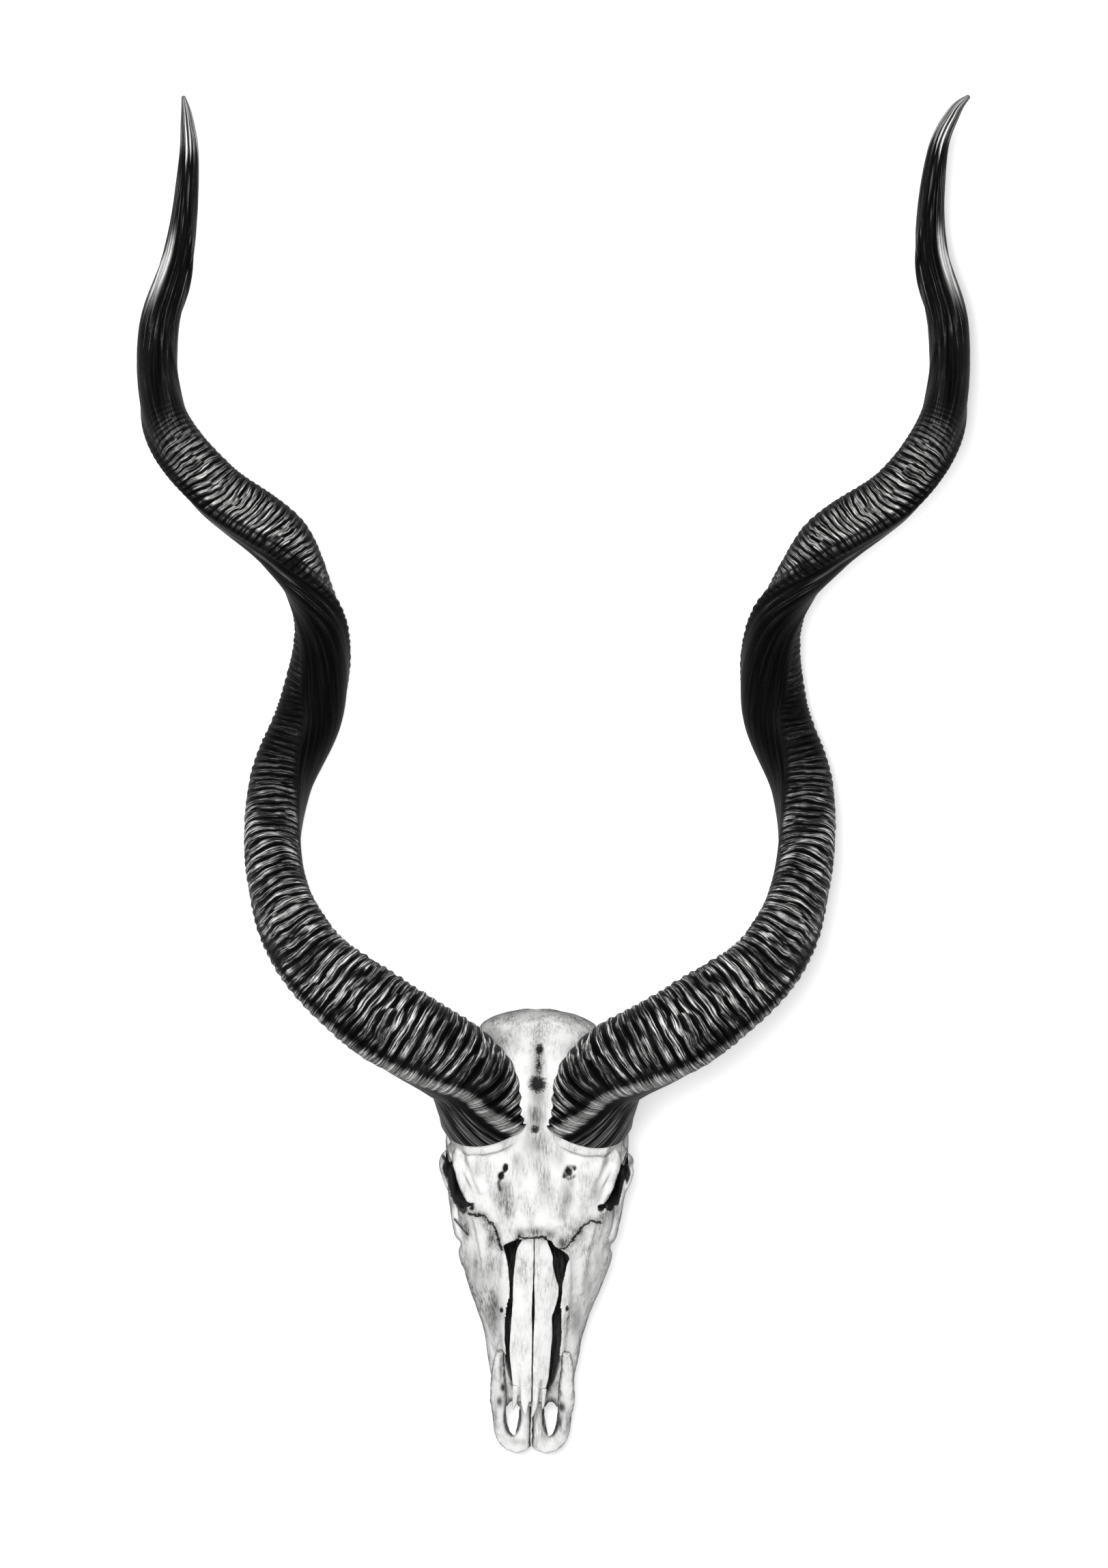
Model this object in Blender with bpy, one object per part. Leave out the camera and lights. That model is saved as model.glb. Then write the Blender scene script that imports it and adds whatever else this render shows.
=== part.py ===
"""A kudu skull without its lower jaw, lying face up on its cheek teeth and on the back of its two horns.

Lengths below are millimetres. +Z is up, -Y is towards the nose and +Y towards the horn tips. The origin
is on the surface the skull lies on, under the middle of the whole object.
"""

import math

import bmesh
import bpy
import numpy as np
from mathutils import Matrix, Vector

MM = 0.001

# Driving sizes of the whole skull
SKULL_PLACE = (-16.6, -392.7, 0.0)
SKULL_LEAN_DEG = -0.95
RIGHT_SIDE_WIDTH = 1.01
LEFT_SIDE_WIDTH = 0.985
FIT_GAP = 0.4

# Colour, roughness of each material
BONE = (0.80, 0.79, 0.76), 0.62
HORN = (0.045, 0.043, 0.042), 0.5
ENAMEL = (0.72, 0.69, 0.62), 0.35

SKULL_TO_WORLD = Matrix.Translation(Vector(SKULL_PLACE) * MM) @ Matrix.Rotation(
    math.radians(SKULL_LEAN_DEG), 4, "Z"
)


def smooth_keys(keys, positions):
    """Rows read from a smooth curve through the key rows, at positions counted in keys."""
    keys = np.array(keys, float)
    last = len(keys) - 1
    padded = np.vstack([2 * keys[0] - keys[1], keys, 2 * keys[-1] - keys[-2]])
    found = []
    for position in positions:
        i = min(int(position), last - 1)
        t = position - i
        before, start, end, after = padded[i : i + 4]
        found.append(
            0.5
            * (
                2 * start
                + (end - before) * t
                + (2 * before - 5 * start + 4 * end - after) * t**2
                + (3 * start - before - 3 * end + after) * t**3
            )
        )
    return np.array(found)


def measured_curve(keys):
    """Many rows of the smooth curve through the keys, and how far along it each one is, by its x, y and z."""
    dense = smooth_keys(keys, np.linspace(0, len(keys) - 1, 40 * len(keys)))
    steps = np.linalg.norm(np.diff(dense[:, :3], axis=0), axis=1)
    return dense, np.concatenate([[0], np.cumsum(steps)])


def material(name, finish):
    colour, roughness = finish
    made = bpy.data.materials.new(name)
    made.use_nodes = True
    shader = made.node_tree.nodes["Principled BSDF"]
    shader.inputs["Base Color"].default_value = (*colour, 1)
    shader.inputs["Roughness"].default_value = roughness
    made.diffuse_color = (*colour, 1)
    return made


def new_object(name, bm, finish=None, in_skull=False):
    """in_skull tells that the shape was drawn in the skull's own frame, and moves it to its place."""
    bmesh.ops.remove_doubles(bm, verts=bm.verts, dist=1e-6)
    bmesh.ops.recalc_face_normals(bm, faces=bm.faces)
    if in_skull:
        for vertex in bm.verts:
            vertex.co.x *= RIGHT_SIDE_WIDTH if vertex.co.x > 0 else LEFT_SIDE_WIDTH
        bm.transform(SKULL_TO_WORLD)
    mesh = bpy.data.meshes.new(name)
    bm.to_mesh(mesh)
    bm.free()
    obj = bpy.data.objects.new(name, mesh)
    bpy.context.scene.collection.objects.link(obj)
    if finish:
        mesh.materials.append(finish)
    return obj


def hide_helper(obj):
    obj.hide_render = True
    obj.display_type = "WIRE"
    return obj


def add_loft(bm, rings):
    """Skins closed rings of points, in millimetres, and closes both ends."""
    loops = [[bm.verts.new(Vector(p) * MM) for p in ring] for ring in rings]
    count = len(loops[0])
    for low, high in zip(loops, loops[1:]):
        for i in range(count):
            j = (i + 1) % count
            bm.faces.new((low[i], low[j], high[j], high[i]))
    for loop in (loops[0][::-1], loops[-1]):
        middle = bm.verts.new(sum((v.co for v in loop), Vector()) / count)
        for i in range(count):
            bm.faces.new((loop[i], loop[(i + 1) % count], middle))


def add_ball(bm, centre, radii, turn=None, segments=20):
    """An ellipsoid. turn is a rotation applied before it is moved to its centre."""
    rotation = turn.to_4x4() if turn else Matrix.Identity(4)
    place = (
        Matrix.Translation(Vector(centre) * MM)
        @ rotation
        @ Matrix.Diagonal((*[r * MM for r in radii], 1))
    )
    bmesh.ops.create_uvsphere(
        bm, u_segments=segments, v_segments=segments // 2, radius=1, matrix=place
    )


def add_limb(bm, keys, rings=14, segments=12, flat_axis=(0, 0, 1)):
    """A rounded bar through rows of x, y, z, half width and half height. Height goes along flat_axis."""
    rows = smooth_keys(keys, np.linspace(0, len(keys) - 1, rings))
    path = rows[:, :3]
    tangents = np.gradient(path, axis=0)
    loops = []
    for row, tangent in zip(rows, tangents):
        tangent = Vector(tangent).normalized()
        side = tangent.cross(Vector(flat_axis)).normalized()
        up = side.cross(tangent)
        loops.append(
            [
                Vector(row[:3])
                + side * row[3] * math.cos(angle)
                + up * row[4] * math.sin(angle)
                for angle in np.linspace(0, math.tau, segments, endpoint=False)
            ]
        )
    add_loft(bm, loops)


def turn_to(normal):
    """The rotation that takes +Z to the normal."""
    return Vector((0, 0, 1)).rotation_difference(Vector(normal)).to_matrix()


def modifier(obj, kind, name, **settings):
    made = obj.modifiers.new(name, kind)
    for key, value in settings.items():
        setattr(made, key, value)
    return made


def as_plain_mesh(obj):
    """Applies the modifiers of an object."""
    graph = bpy.context.evaluated_depsgraph_get()
    mesh = bpy.data.meshes.new_from_object(obj.evaluated_get(graph))
    obj.modifiers.clear()
    obj.data = mesh
    return obj


def grow_together(obj, grain, kept_share):
    """Joins overlapping shapes in one skin with soft joins, and keeps a share of its facets."""
    modifier(obj, "REMESH", "one skin", mode="VOXEL", voxel_size=grain * MM, adaptivity=0)
    modifier(obj, "SMOOTH", "soften joins", factor=0.5, iterations=6)
    modifier(obj, "DECIMATE", "few facets", ratio=kept_share)
    return as_plain_mesh(obj)


def grown_copy(obj, by=FIT_GAP):
    """A hidden copy whose surface stands a little outside the object's own, for cutting a clear seat."""
    bm = bmesh.new()
    bm.from_mesh(obj.data)
    bm.normal_update()
    moved = [v.co + v.normal * by * MM * min(v.calc_shell_factor(), 2) for v in bm.verts]
    for vertex, place in zip(bm.verts, moved):
        vertex.co = place
    return hide_helper(new_object("seat_" + obj.name, bm))


def cut(obj, cutter):
    modifier(obj, "BOOLEAN", "cut " + cutter.name, operation="DIFFERENCE", object=cutter)


for leftover in list(bpy.data.objects):
    bpy.data.objects.remove(leftover)

bone = material("bone", BONE)
horn = material("horn", HORN)
enamel = material("enamel", ENAMEL)


# Horns
#
# Each row is a station along one horn: x, y, z of its middle, half its long width, half its short width,
# and the direction of the keel. The keel's angle is 0 towards the skull's middle line, 90 up, 180 outwards
# and 270 down, and it keeps growing as the horn twists.
HORN_LEFT = [
    (-62.5, -275, 104, 42.0, 45.0, 95),
    (-76, -259, 125, 39.5, 38.5, 106),
    (-92, -240, 136, 37.5, 33.0, 118),
    (-122, -219, 142, 38.0, 30.0, 132),
    (-153, -198, 139, 37.5, 29.0, 143),
    (-206, -151, 118, 30.0, 25.0, 170),
    (-237, -84, 79, 28.5, 23.5, 222),
    (-234, -11, 34, 28.5, 23.5, 275),
    (-207, 57, 26, 28.0, 22.0, 320),
    (-200, 128, 60, 23.5, 18.5, 372),
    (-228, 194, 95, 26.5, 20.5, 468),
    (-289, 245, 103, 23.5, 18.5, 512),
    (-330, 303, 76, 21.5, 18.0, 560),
    (-337, 376, 47, 17.5, 16.0, 650),
    (-319, 448, 37, 13.5, 12.5, 760),
    (-311, 521, 52, 9.0, 8.5, 815),
    (-312, 557, 66, 5.5, 5.2, 830),
    (-315, 577, 76, 1.5, 1.5, 835),
]
HORN_RIGHT = [
    (32.5, -275, 104, 42.0, 45.0, 95),
    (46, -259, 125, 39.5, 38.5, 106),
    (61, -242, 136, 37.5, 33.0, 118),
    (92, -223, 142, 38.0, 30.0, 132),
    (123, -203, 139, 37.0, 29.0, 143),
    (180, -156, 118, 29.5, 25.0, 170),
    (211, -88, 79, 28.0, 23.5, 222),
    (212, -13, 34, 28.0, 23.5, 275),
    (188, 58, 26, 28.0, 22.0, 320),
    (190, 130, 60, 24.0, 18.5, 372),
    (229, 193, 95, 26.0, 20.5, 468),
    (292, 242, 103, 22.5, 18.5, 512),
    (330, 304, 76, 21.0, 18.0, 560),
    (336, 379, 47, 18.0, 16.0, 650),
    (321, 453, 37, 14.5, 13.0, 760),
    (326, 528, 52, 9.2, 8.7, 815),
    (340, 563, 66, 5.8, 5.4, 830),
    (353, 577, 76, 1.5, 1.5, 835),
]
LONG_AXIS_FROM_KEEL_DEG = 40
KEEL_RISE = 0.15
KEEL_SPREAD_DEG = 15
SMOOTH_FACE_DEG = 138
RIDGE_PITCH = 21.0
RIDGE_HEIGHT = 2.0
GROOVE_SHARE = 0.4
RIDGE_FADE_DEG = 25
SEAT_RINGS = 9
RIDGED_SHARE = 0.62
SMOOTH_RING_PITCH = 20.0
# Angles round the horn from its keel, closer together beside the keel
RING_ANGLES_DEG = (0, 18, 50, 90, 135, 170, 205, 240, 275, 308, 342)


def angle_apart(a, b):
    """Smallest difference of two angles in degrees."""
    return abs((a - b + 180) % 360 - 180)


def horn_radius(long_half, short_half, angle):
    """Distance from the middle to the surface at an angle from the keel, in degrees."""
    turned = math.radians(angle - LONG_AXIS_FROM_KEEL_DEG)
    oval = long_half * short_half / math.hypot(
        short_half * math.cos(turned), long_half * math.sin(turned)
    )
    keel = KEEL_RISE * long_half * math.exp(-((angle_apart(angle, 0) / KEEL_SPREAD_DEG) ** 2))
    return oval + keel


def ridge_share(angle):
    """How far the ridges rise at an angle from the keel: none on the smooth face, full on the ribbed one."""
    middle_of_ribbed = (SMOOTH_FACE_DEG + 360) / 2
    half_ribbed = (360 - SMOOTH_FACE_DEG) / 2
    inside = half_ribbed - angle_apart(angle, middle_of_ribbed)
    return min(max(inside / RIDGE_FADE_DEG, 0), 1)


def horn_ring(row, tangent, inwards, wave=0.0, grow=0.0):
    """One cross-section. inwards is +1 where the skull's middle line lies towards +X of the horn, else -1."""
    front = (Vector((0, 0, 1)) - tangent * tangent.z).normalized()
    inner = tangent.cross(front) * inwards
    ring = []
    for angle in RING_ANGLES_DEG:
        around = math.radians(row[5] + angle)
        radius = horn_radius(row[3], row[4], angle) + wave * ridge_share(angle) + grow
        ring.append(
            Vector(row[:3]) + inner * radius * math.cos(around) + front * radius * math.sin(around)
        )
    return ring


def horn_rings(stations, inwards, grow=0.0):
    """All cross-sections of a horn, lifted or lowered so that its lowest point touches the surface."""
    dense, along = measured_curve(stations)
    length = along[-1]
    ridged = np.arange(0, RIDGED_SHARE * length, RIDGE_PITCH / 2)
    plain = np.linspace(ridged[-1], length, int((length - ridged[-1]) / SMOOTH_RING_PITCH))[1:]
    distances = np.concatenate([ridged, plain])
    rows = np.array([np.interp(distances, along, column) for column in dense.T]).T
    tangents = np.gradient(rows[:, :3], distances, axis=0)
    rings = []
    for index, (row, tangent) in enumerate(zip(rows, tangents)):
        fade = max(0.0, 1 - distances[index] / length / RIDGED_SHARE) ** 0.5
        wave = RIDGE_HEIGHT * fade * (1 if index % 2 else -GROOVE_SHARE)
        rings.append(horn_ring(row, Vector(tangent).normalized(), inwards, wave, grow))
    lift = Vector((0, 0, -grow - min(point.z for ring in rings for point in ring)))
    return [[point + lift for point in ring] for ring in rings]


def build_horn(name, stations, inwards):
    bm = bmesh.new()
    add_loft(bm, horn_rings(stations, inwards))
    return new_object(name, bm, horn)


def horn_seat(name, stations, inwards):
    """Cuts the bone clear of the first part of a horn."""
    rings = horn_rings(stations, inwards, grow=FIT_GAP)[:SEAT_RINGS]
    start = sum(rings[0], Vector()) / len(rings[0])
    onwards = (sum(rings[1], Vector()) / len(rings[1]) - start).normalized()
    rings[0] = [point - onwards * FIT_GAP for point in rings[0]]
    bm = bmesh.new()
    add_loft(bm, rings)
    return hide_helper(new_object(name, bm))


horn_left = build_horn("horn_left", HORN_LEFT, 1)
horn_right = build_horn("horn_right", HORN_RIGHT, -1)
horn_seats = [
    horn_seat("horn_seat_left", HORN_LEFT, 1),
    horn_seat("horn_seat_right", HORN_RIGHT, -1),
]

# Cranium
#
# From here on places are in the skull's own frame: x from its middle line, y from the root of the nasal
# bones towards the horns, z from the surface under the teeth. Each row is a cross-section of face and
# braincase: y, height of the top, then the roof edge, the widest point and the lower edge as x and z, and the
# height of the underside.
BODY = [
    (-146, 34, 12, 34, 25, 30, 20, 25, 25),
    (-134, 36, 13, 36, 29, 32, 23, 24, 24),
    (-124, 46, 14, 46, 34, 38, 26, 24, 24),
    (-105, 62, 18, 61, 38, 44, 31, 20, 23),
    (-80, 77, 21, 75, 42, 48, 35, 19, 24),
    (-50, 90, 24, 86, 53, 50, 41, 17, 25),
    (-18, 101, 28, 97, 65, 56, 45, 17, 26),
    (5, 109, 33, 105, 66, 66, 46, 19, 27),
    (30, 117, 42, 114, 66, 84, 56, 38, 29),
    (52, 123, 49, 120, 67, 90, 61, 51, 33),
    (85, 129, 48, 126, 62, 104, 34, 46, 38),
    (112, 131, 42, 127, 54, 98, 24, 44, 40),
    (140, 127, 38, 120, 51, 86, 27, 44, 40),
    (165, 117, 36, 109, 51, 78, 29, 42, 38),
    (179, 106, 34, 98, 50, 72, 28, 46, 43),
    (186, 98, 27, 92, 41, 70, 24, 49, 48),
    (191, 88, 18, 85, 27, 68, 17, 54, 53),
    (194, 80, 8, 77, 11, 67, 8, 60, 59),
]
CRANIUM_GRAIN = 2.8
ORBIT_CENTRE = (64, 47, 88)
ORBIT_FACING = (0.80, -0.45, 0.40)
ORBIT_RADIUS = 25
ORBIT_DEPTH = 34
ORBIT_SUNK = 10
ORBIT_RIM = 4.5
# Bars of bone: x, y, z, half width, half height
CHEEK_ARCH = [
    (50, -30, 52, 8, 14),
    (62, -2, 58, 6, 13),
    (69, 26, 62, 5, 11),
    (73, 55, 65, 4, 9),
    (74, 84, 69, 4, 8),
    (68, 110, 74, 5, 8),
    (52, 130, 78, 8, 9),
]
JUGULAR_PROCESS = [(36, 170, 62, 7, 5), (34, 169, 42, 6, 4), (31, 164, 22, 3, 2)]
CONDYLE = ((15, 181, 48), (11, 11, 15))
EYE_BAR = [(56, 84, 116, 9, 6), (66, 78, 106, 9, 5), (73, 72, 90, 8, 4), (75, 68, 72, 7, 4)]
EAR_BULLA = ((24, 147, 40), (11, 16, 14))
# The stump under each horn goes down from the horn's base, and gets narrower there to stay out of the eye
# socket
STUMP_DEPTHS = (-3, 12, 26, 38)
STUMP_GROWTH = (-1.5, 0.5, -1, -6)
# Hollows: the nose, with a slot in its roof that the two nasal bones fill apart from the gap beside each,
# the way from the nose to the throat, and the room for the brain with the hole for the spinal cord
NOSE_HOLLOW = [
    (0, -150, 56, 24, 25),
    (0, -105, 62, 25, 29),
    (0, -60, 66, 28, 30),
    (0, -20, 68, 30, 30),
    (0, 12, 72, 22, 26),
]
THROAT_WAY = [(0, 34, 24, 12, 14), (0, 60, 26, 13, 18), (0, 84, 30, 12, 14), (0, 102, 30, 8, 8)]
BRAIN_HOLLOW = [
    (0, 92, 90, 20, 18),
    (0, 110, 90, 34, 29),
    (0, 140, 86, 37, 32),
    (0, 163, 76, 29, 24),
    (0, 180, 62, 13, 13),
    (0, 210, 52, 12, 12),
]
# Half widths of the roof slot: y, left, right
ROOF_SLOT = [
    (-132, 25, 25),
    (-105, 24.5, 25.5),
    (-78, 23.5, 24),
    (-58, 23, 24),
    (-38, 21.5, 26),
    (-22, 24, 31),
    (-8, 22, 24),
    (-3, 13, 14),
]


def mirrored(point, side):
    return (point[0] * side, *point[1:])


def body_ring(row, points=28):
    y, top, roof_x, roof_z, wide_x, wide_z, low_x, low_z, bottom = row
    half = [(0, top), (roof_x, roof_z), (wide_x, wide_z), (low_x, low_z), (0, bottom)]
    other_half = [(-x, z) for x, z in half[-2:0:-1]]
    closed = half + other_half
    wrapped = closed[-1:] + closed + closed[:2]
    places = np.linspace(1, 1 + len(closed), points, endpoint=False)
    return [(x, y, z) for x, z in smooth_keys(wrapped, places)]


def ball_cutter(name, centre, radii, turn=None):
    bm = bmesh.new()
    add_ball(bm, centre, radii, turn, segments=24)
    return hide_helper(new_object(name, bm, in_skull=True))


def limb_cutter(name, keys):
    bm = bmesh.new()
    add_limb(bm, keys, rings=2 * len(keys))
    return hide_helper(new_object(name, bm, in_skull=True))


bm = bmesh.new()
stations = smooth_keys(BODY, np.linspace(0, len(BODY) - 1, 3 * len(BODY) - 2))
add_loft(bm, [body_ring(row) for row in stations])
face_and_braincase = new_object("face_and_braincase", bm, in_skull=True)

bm = bmesh.new()
outline = [(right, y) for y, _, right in ROOF_SLOT] + [(-left, y) for y, left, _ in ROOF_SLOT[::-1]]
add_loft(bm, [[(x, y, z) for x, y in outline] for z in (62, 140)])
roof_slot = hide_helper(new_object("roof_slot", bm, in_skull=True))

cut(face_and_braincase, limb_cutter("nose_hollow", NOSE_HOLLOW))
cut(face_and_braincase, roof_slot)
cut(face_and_braincase, limb_cutter("throat_way", THROAT_WAY))
for side, word in ((-1, "left"), (1, "right")):
    facing = Vector(mirrored(ORBIT_FACING, side)).normalized()
    sunk_centre = Vector(mirrored(ORBIT_CENTRE, side)) - facing * ORBIT_SUNK
    radii = (ORBIT_RADIUS, ORBIT_RADIUS, ORBIT_DEPTH)
    cut(face_and_braincase, ball_cutter("orbit_" + word, sunk_centre, radii, turn_to(facing)))
as_plain_mesh(face_and_braincase)


def add_orbit_rim(bm, side):
    turn = turn_to(Vector(mirrored(ORBIT_FACING, side)).normalized())
    centre = Vector(mirrored(ORBIT_CENTRE, side))
    rings = []
    for around in np.linspace(0, math.tau, 25):
        ring = []
        for tube in np.linspace(0, math.tau, 8, endpoint=False):
            reach = ORBIT_RADIUS + ORBIT_RIM * math.cos(tube)
            offset = Vector((math.cos(around) * reach, math.sin(around) * reach, 0))
            offset.z = ORBIT_RIM * math.sin(tube)
            ring.append(centre + turn @ offset)
        rings.append(ring)
    add_loft(bm, rings)


bm = bmesh.new()
for side in (-1, 1):
    add_orbit_rim(bm, side)
    add_limb(bm, [mirrored(row, side) for row in CHEEK_ARCH])
    add_limb(bm, [mirrored(row, side) for row in EYE_BAR], flat_axis=(1, 0, 0))
    add_ball(bm, mirrored(CONDYLE[0], side), CONDYLE[1])
    add_ball(bm, mirrored(EAR_BULLA[0], side), EAR_BULLA[1])
    add_limb(bm, [mirrored(row, side) for row in JUGULAR_PROCESS], flat_axis=(0, 1, 0))
outworks = new_object("outworks", bm, in_skull=True)

bm = bmesh.new()
for stations, inwards in ((HORN_LEFT, 1), (HORN_RIGHT, -1)):
    first, second = np.array(stations[0]), np.array(stations[1])
    onwards = Vector(second[:3] - first[:3]).normalized()
    rings = []
    for depth, growth in zip(STUMP_DEPTHS, STUMP_GROWTH):
        row = first.copy()
        row[:3] -= np.array(onwards) * depth
        rings.append(horn_ring(row, onwards, inwards, grow=growth))
    add_loft(bm, rings)
stumps = new_object("stumps", bm)

bm = bmesh.new()
for part in (face_and_braincase, outworks, stumps):
    bm.from_mesh(part.data)
    bpy.data.objects.remove(part)
cranium = new_object("cranium", bm, bone)
grow_together(cranium, CRANIUM_GRAIN, 0.05)

# Nasal bones: two thin arched plates side by side over the nose. Rows are y, half width on the left, half
# width on the right, height of the crest, drop at the outer edge and half width of the slit between the two.
NASALS = [
    (-151, 8, 8, 66, 1, 2.5),
    (-146, 11, 10.5, 67, 2, 1.0),
    (-135, 13.5, 12.5, 69, 3, 0.3),
    (-112, 16, 15.5, 75, 4, 0.3),
    (-85, 18.5, 19, 83, 5, 0.3),
    (-66, 19.5, 21.5, 89, 5, 1.2),
    (-48, 19, 21, 94, 5, 0.3),
    (-25, 18, 18, 101, 5, 0.3),
    (-8, 17, 16.5, 106, 4, 0.3),
    (0, 15, 14.5, 108, 4, 0.3),
]
NASAL_THICKNESS = 5.0


def build_nasal(name, side):
    rings = []
    for y, left, right, crest, drop, slit in smooth_keys(NASALS, np.linspace(0, len(NASALS) - 1, 11)):
        outer = left if side < 0 else right
        top = []
        for share in (0, 0.35, 0.7, 1):
            x = slit + (outer - slit) * share
            top.append((x * side, y, crest - drop * share**2))
        under = [(x, y, z - NASAL_THICKNESS) for x, y, z in top[::-1]]
        rings.append(top + under)
    bm = bmesh.new()
    add_loft(bm, rings)
    return new_object(name, bm, bone, in_skull=True)


# Front jaw bones: each is a fork, with a long outer arm beside the upper jaw and a short inner arm over the
# palate
PREMAXILLA_OUTER = [
    (9, -179, 25, 7, 3),
    (18, -177, 26, 7, 4),
    (25, -169, 28, 6.5, 5),
    (28, -152, 33, 6, 7),
    (31.5, -132, 41, 4.5, 9),
    (33, -116, 51, 3.5, 8),
    (30, -100, 60, 2.5, 5),
]
PREMAXILLA_GRAIN = 1.2
PREMAXILLA_TIP = ((9.5, -177, 25), (8.5, 7.5, 3.6))
PREMAXILLA_INNER = [
    (9, -179, 25, 7, 3),
    (8, -170, 25, 6, 3),
    (7, -155, 26, 5, 2.5),
    (7, -142, 27, 5, 2),
]


def build_premaxilla(name, side):
    bm = bmesh.new()
    for arm in (PREMAXILLA_OUTER, PREMAXILLA_INNER):
        add_limb(bm, [mirrored(row, side) for row in arm], rings=3 * len(arm))
    add_ball(bm, mirrored(PREMAXILLA_TIP[0], side), PREMAXILLA_TIP[1])
    obj = new_object(name, bm, bone, in_skull=True)
    return grow_together(obj, PREMAXILLA_GRAIN, 0.03)


# Cheek teeth: the worn faces stand flat on the floor. Rows are the name, y of its middle, length and width.
TEETH = [
    ("premolar_1", -69.5, 11.4, 11),
    ("premolar_2", -56.5, 13.4, 13),
    ("premolar_3", -42.0, 14.4, 14),
    ("molar_1", -24.8, 19.0, 15.5),
    ("molar_2", -4.8, 19.8, 16),
    ("molar_3", 15.4, 19.4, 15),
]
TOOTH_ROW_X = (28.5, 33.5)
# Height above the worn face and size there, as a share of the worn face
TOOTH_SECTIONS = ((0, 1), (12, 1.03), (26, 0.82))
TOOTH_SIDES = 8
TOOTH_FIT_SHARE = 0.97


def build_tooth(name, side, y, length, width):
    share = (y - TEETH[0][1]) / (TEETH[-1][1] - TEETH[0][1])
    x = TOOTH_ROW_X[0] + (TOOTH_ROW_X[1] - TOOTH_ROW_X[0]) * share
    rings = []
    for z, size in TOOTH_SECTIONS:
        ring = []
        for angle in np.linspace(0.2, 0.2 + math.tau, TOOTH_SIDES, endpoint=False):
            reach = (abs(math.cos(angle)) ** 4 + abs(math.sin(angle)) ** 4) ** -0.25
            ring.append(
                (
                    (x + 0.5 * width * size * reach * math.cos(angle)) * side,
                    y + 0.5 * length * TOOTH_FIT_SHARE * size * reach * math.sin(angle),
                    z,
                )
            )
        rings.append(ring)
    bm = bmesh.new()
    add_loft(bm, rings)
    return new_object(name, bm, enamel, in_skull=True)


fitted = []
for side, word in ((-1, "left"), (1, "right")):
    fitted.append(build_nasal("nasal_" + word, side))
    fitted.append(build_premaxilla("premaxilla_" + word, side))
    for tooth, y, length, width in TEETH:
        fitted.append(build_tooth(tooth + "_" + word, side, y, length, width))

cut(cranium, limb_cutter("brain_hollow", BRAIN_HOLLOW))
for seat in horn_seats:
    cut(cranium, seat)
for piece in fitted:
    cut(cranium, grown_copy(piece))
as_plain_mesh(cranium)
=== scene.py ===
"""The finished look of a kudu skull that lies face up on a pale floor, seen from straight above."""

import math

import bmesh
import bpy
import numpy as np
from mathutils import Matrix, Vector
from mathutils import noise as noise_lib


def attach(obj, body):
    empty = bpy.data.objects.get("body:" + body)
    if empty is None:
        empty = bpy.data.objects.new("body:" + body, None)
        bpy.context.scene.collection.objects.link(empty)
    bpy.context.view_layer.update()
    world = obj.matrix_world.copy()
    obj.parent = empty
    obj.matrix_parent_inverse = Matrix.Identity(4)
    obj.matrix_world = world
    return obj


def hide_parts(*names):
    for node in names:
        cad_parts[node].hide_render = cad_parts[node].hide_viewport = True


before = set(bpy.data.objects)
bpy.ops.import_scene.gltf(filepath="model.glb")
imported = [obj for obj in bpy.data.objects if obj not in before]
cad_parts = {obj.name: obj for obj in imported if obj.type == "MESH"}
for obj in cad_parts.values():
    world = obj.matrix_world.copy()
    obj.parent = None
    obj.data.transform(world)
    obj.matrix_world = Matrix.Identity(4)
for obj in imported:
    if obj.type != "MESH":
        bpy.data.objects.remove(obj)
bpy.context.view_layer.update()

scene = bpy.context.scene

# Camera
#
# It hangs straight above the skull with the horn tips at the top of the picture. The lens is long, so that the near
# and far parts of the horns keep their sizes.
PICTURE_WIDTH = 1623
PICTURE_HEIGHT = 2296
MM_PER_PIXEL = 0.58
MIDDLE_COLUMN = 811.5
ORIGIN_ROW = 1135
SENSOR_MM = 36
LENS_MM = 300
AIM_HEIGHT = 0.075

picture_height = PICTURE_HEIGHT * MM_PER_PIXEL / 1000
picture_middle = (ORIGIN_ROW - PICTURE_HEIGHT / 2) * MM_PER_PIXEL / 1000
camera_data = bpy.data.cameras.new("camera")
camera_data.lens = LENS_MM
camera_data.sensor_width = SENSOR_MM
camera_data.clip_end = 100
camera = bpy.data.objects.new("camera", camera_data)
camera.location = (0, picture_middle, AIM_HEIGHT + picture_height * LENS_MM / SENSOR_MM)
scene.collection.objects.link(camera)
scene.camera = camera

# Floor and light
#
# A plain white floor, an even white sky and one large soft lamp high above the skull, so that the sides of the forms
# turn darker and hardly any shadow shows beside them.
FLOOR_SIZE = 40.0
FLOOR_WHITE = 0.93
FLOOR_GLOW = 0.45
SKY_STRENGTH = 0.3
LAMP_POWER = 108.0
LAMP_SIZE = 1.2
LAMP_PLACE = (-0.35, 0.1, 3.2)


def plain_material(name, colour, roughness, glow=0.0):
    made = bpy.data.materials.new(name)
    made.use_nodes = True
    shader = made.node_tree.nodes["Principled BSDF"]
    shader.inputs["Base Color"].default_value = (*colour, 1)
    shader.inputs["Roughness"].default_value = roughness
    shader.inputs["Emission Color"].default_value = (1, 1, 1, 1)
    shader.inputs["Emission Strength"].default_value = glow
    return made


bm = bmesh.new()
bmesh.ops.create_grid(bm, x_segments=1, y_segments=1, size=FLOOR_SIZE / 2)
floor_mesh = bpy.data.meshes.new("floor")
bm.to_mesh(floor_mesh)
bm.free()
floor_mesh.materials.append(plain_material("white floor", (FLOOR_WHITE,) * 3, 0.9, FLOOR_GLOW))
floor = bpy.data.objects.new("floor", floor_mesh)
scene.collection.objects.link(floor)

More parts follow.
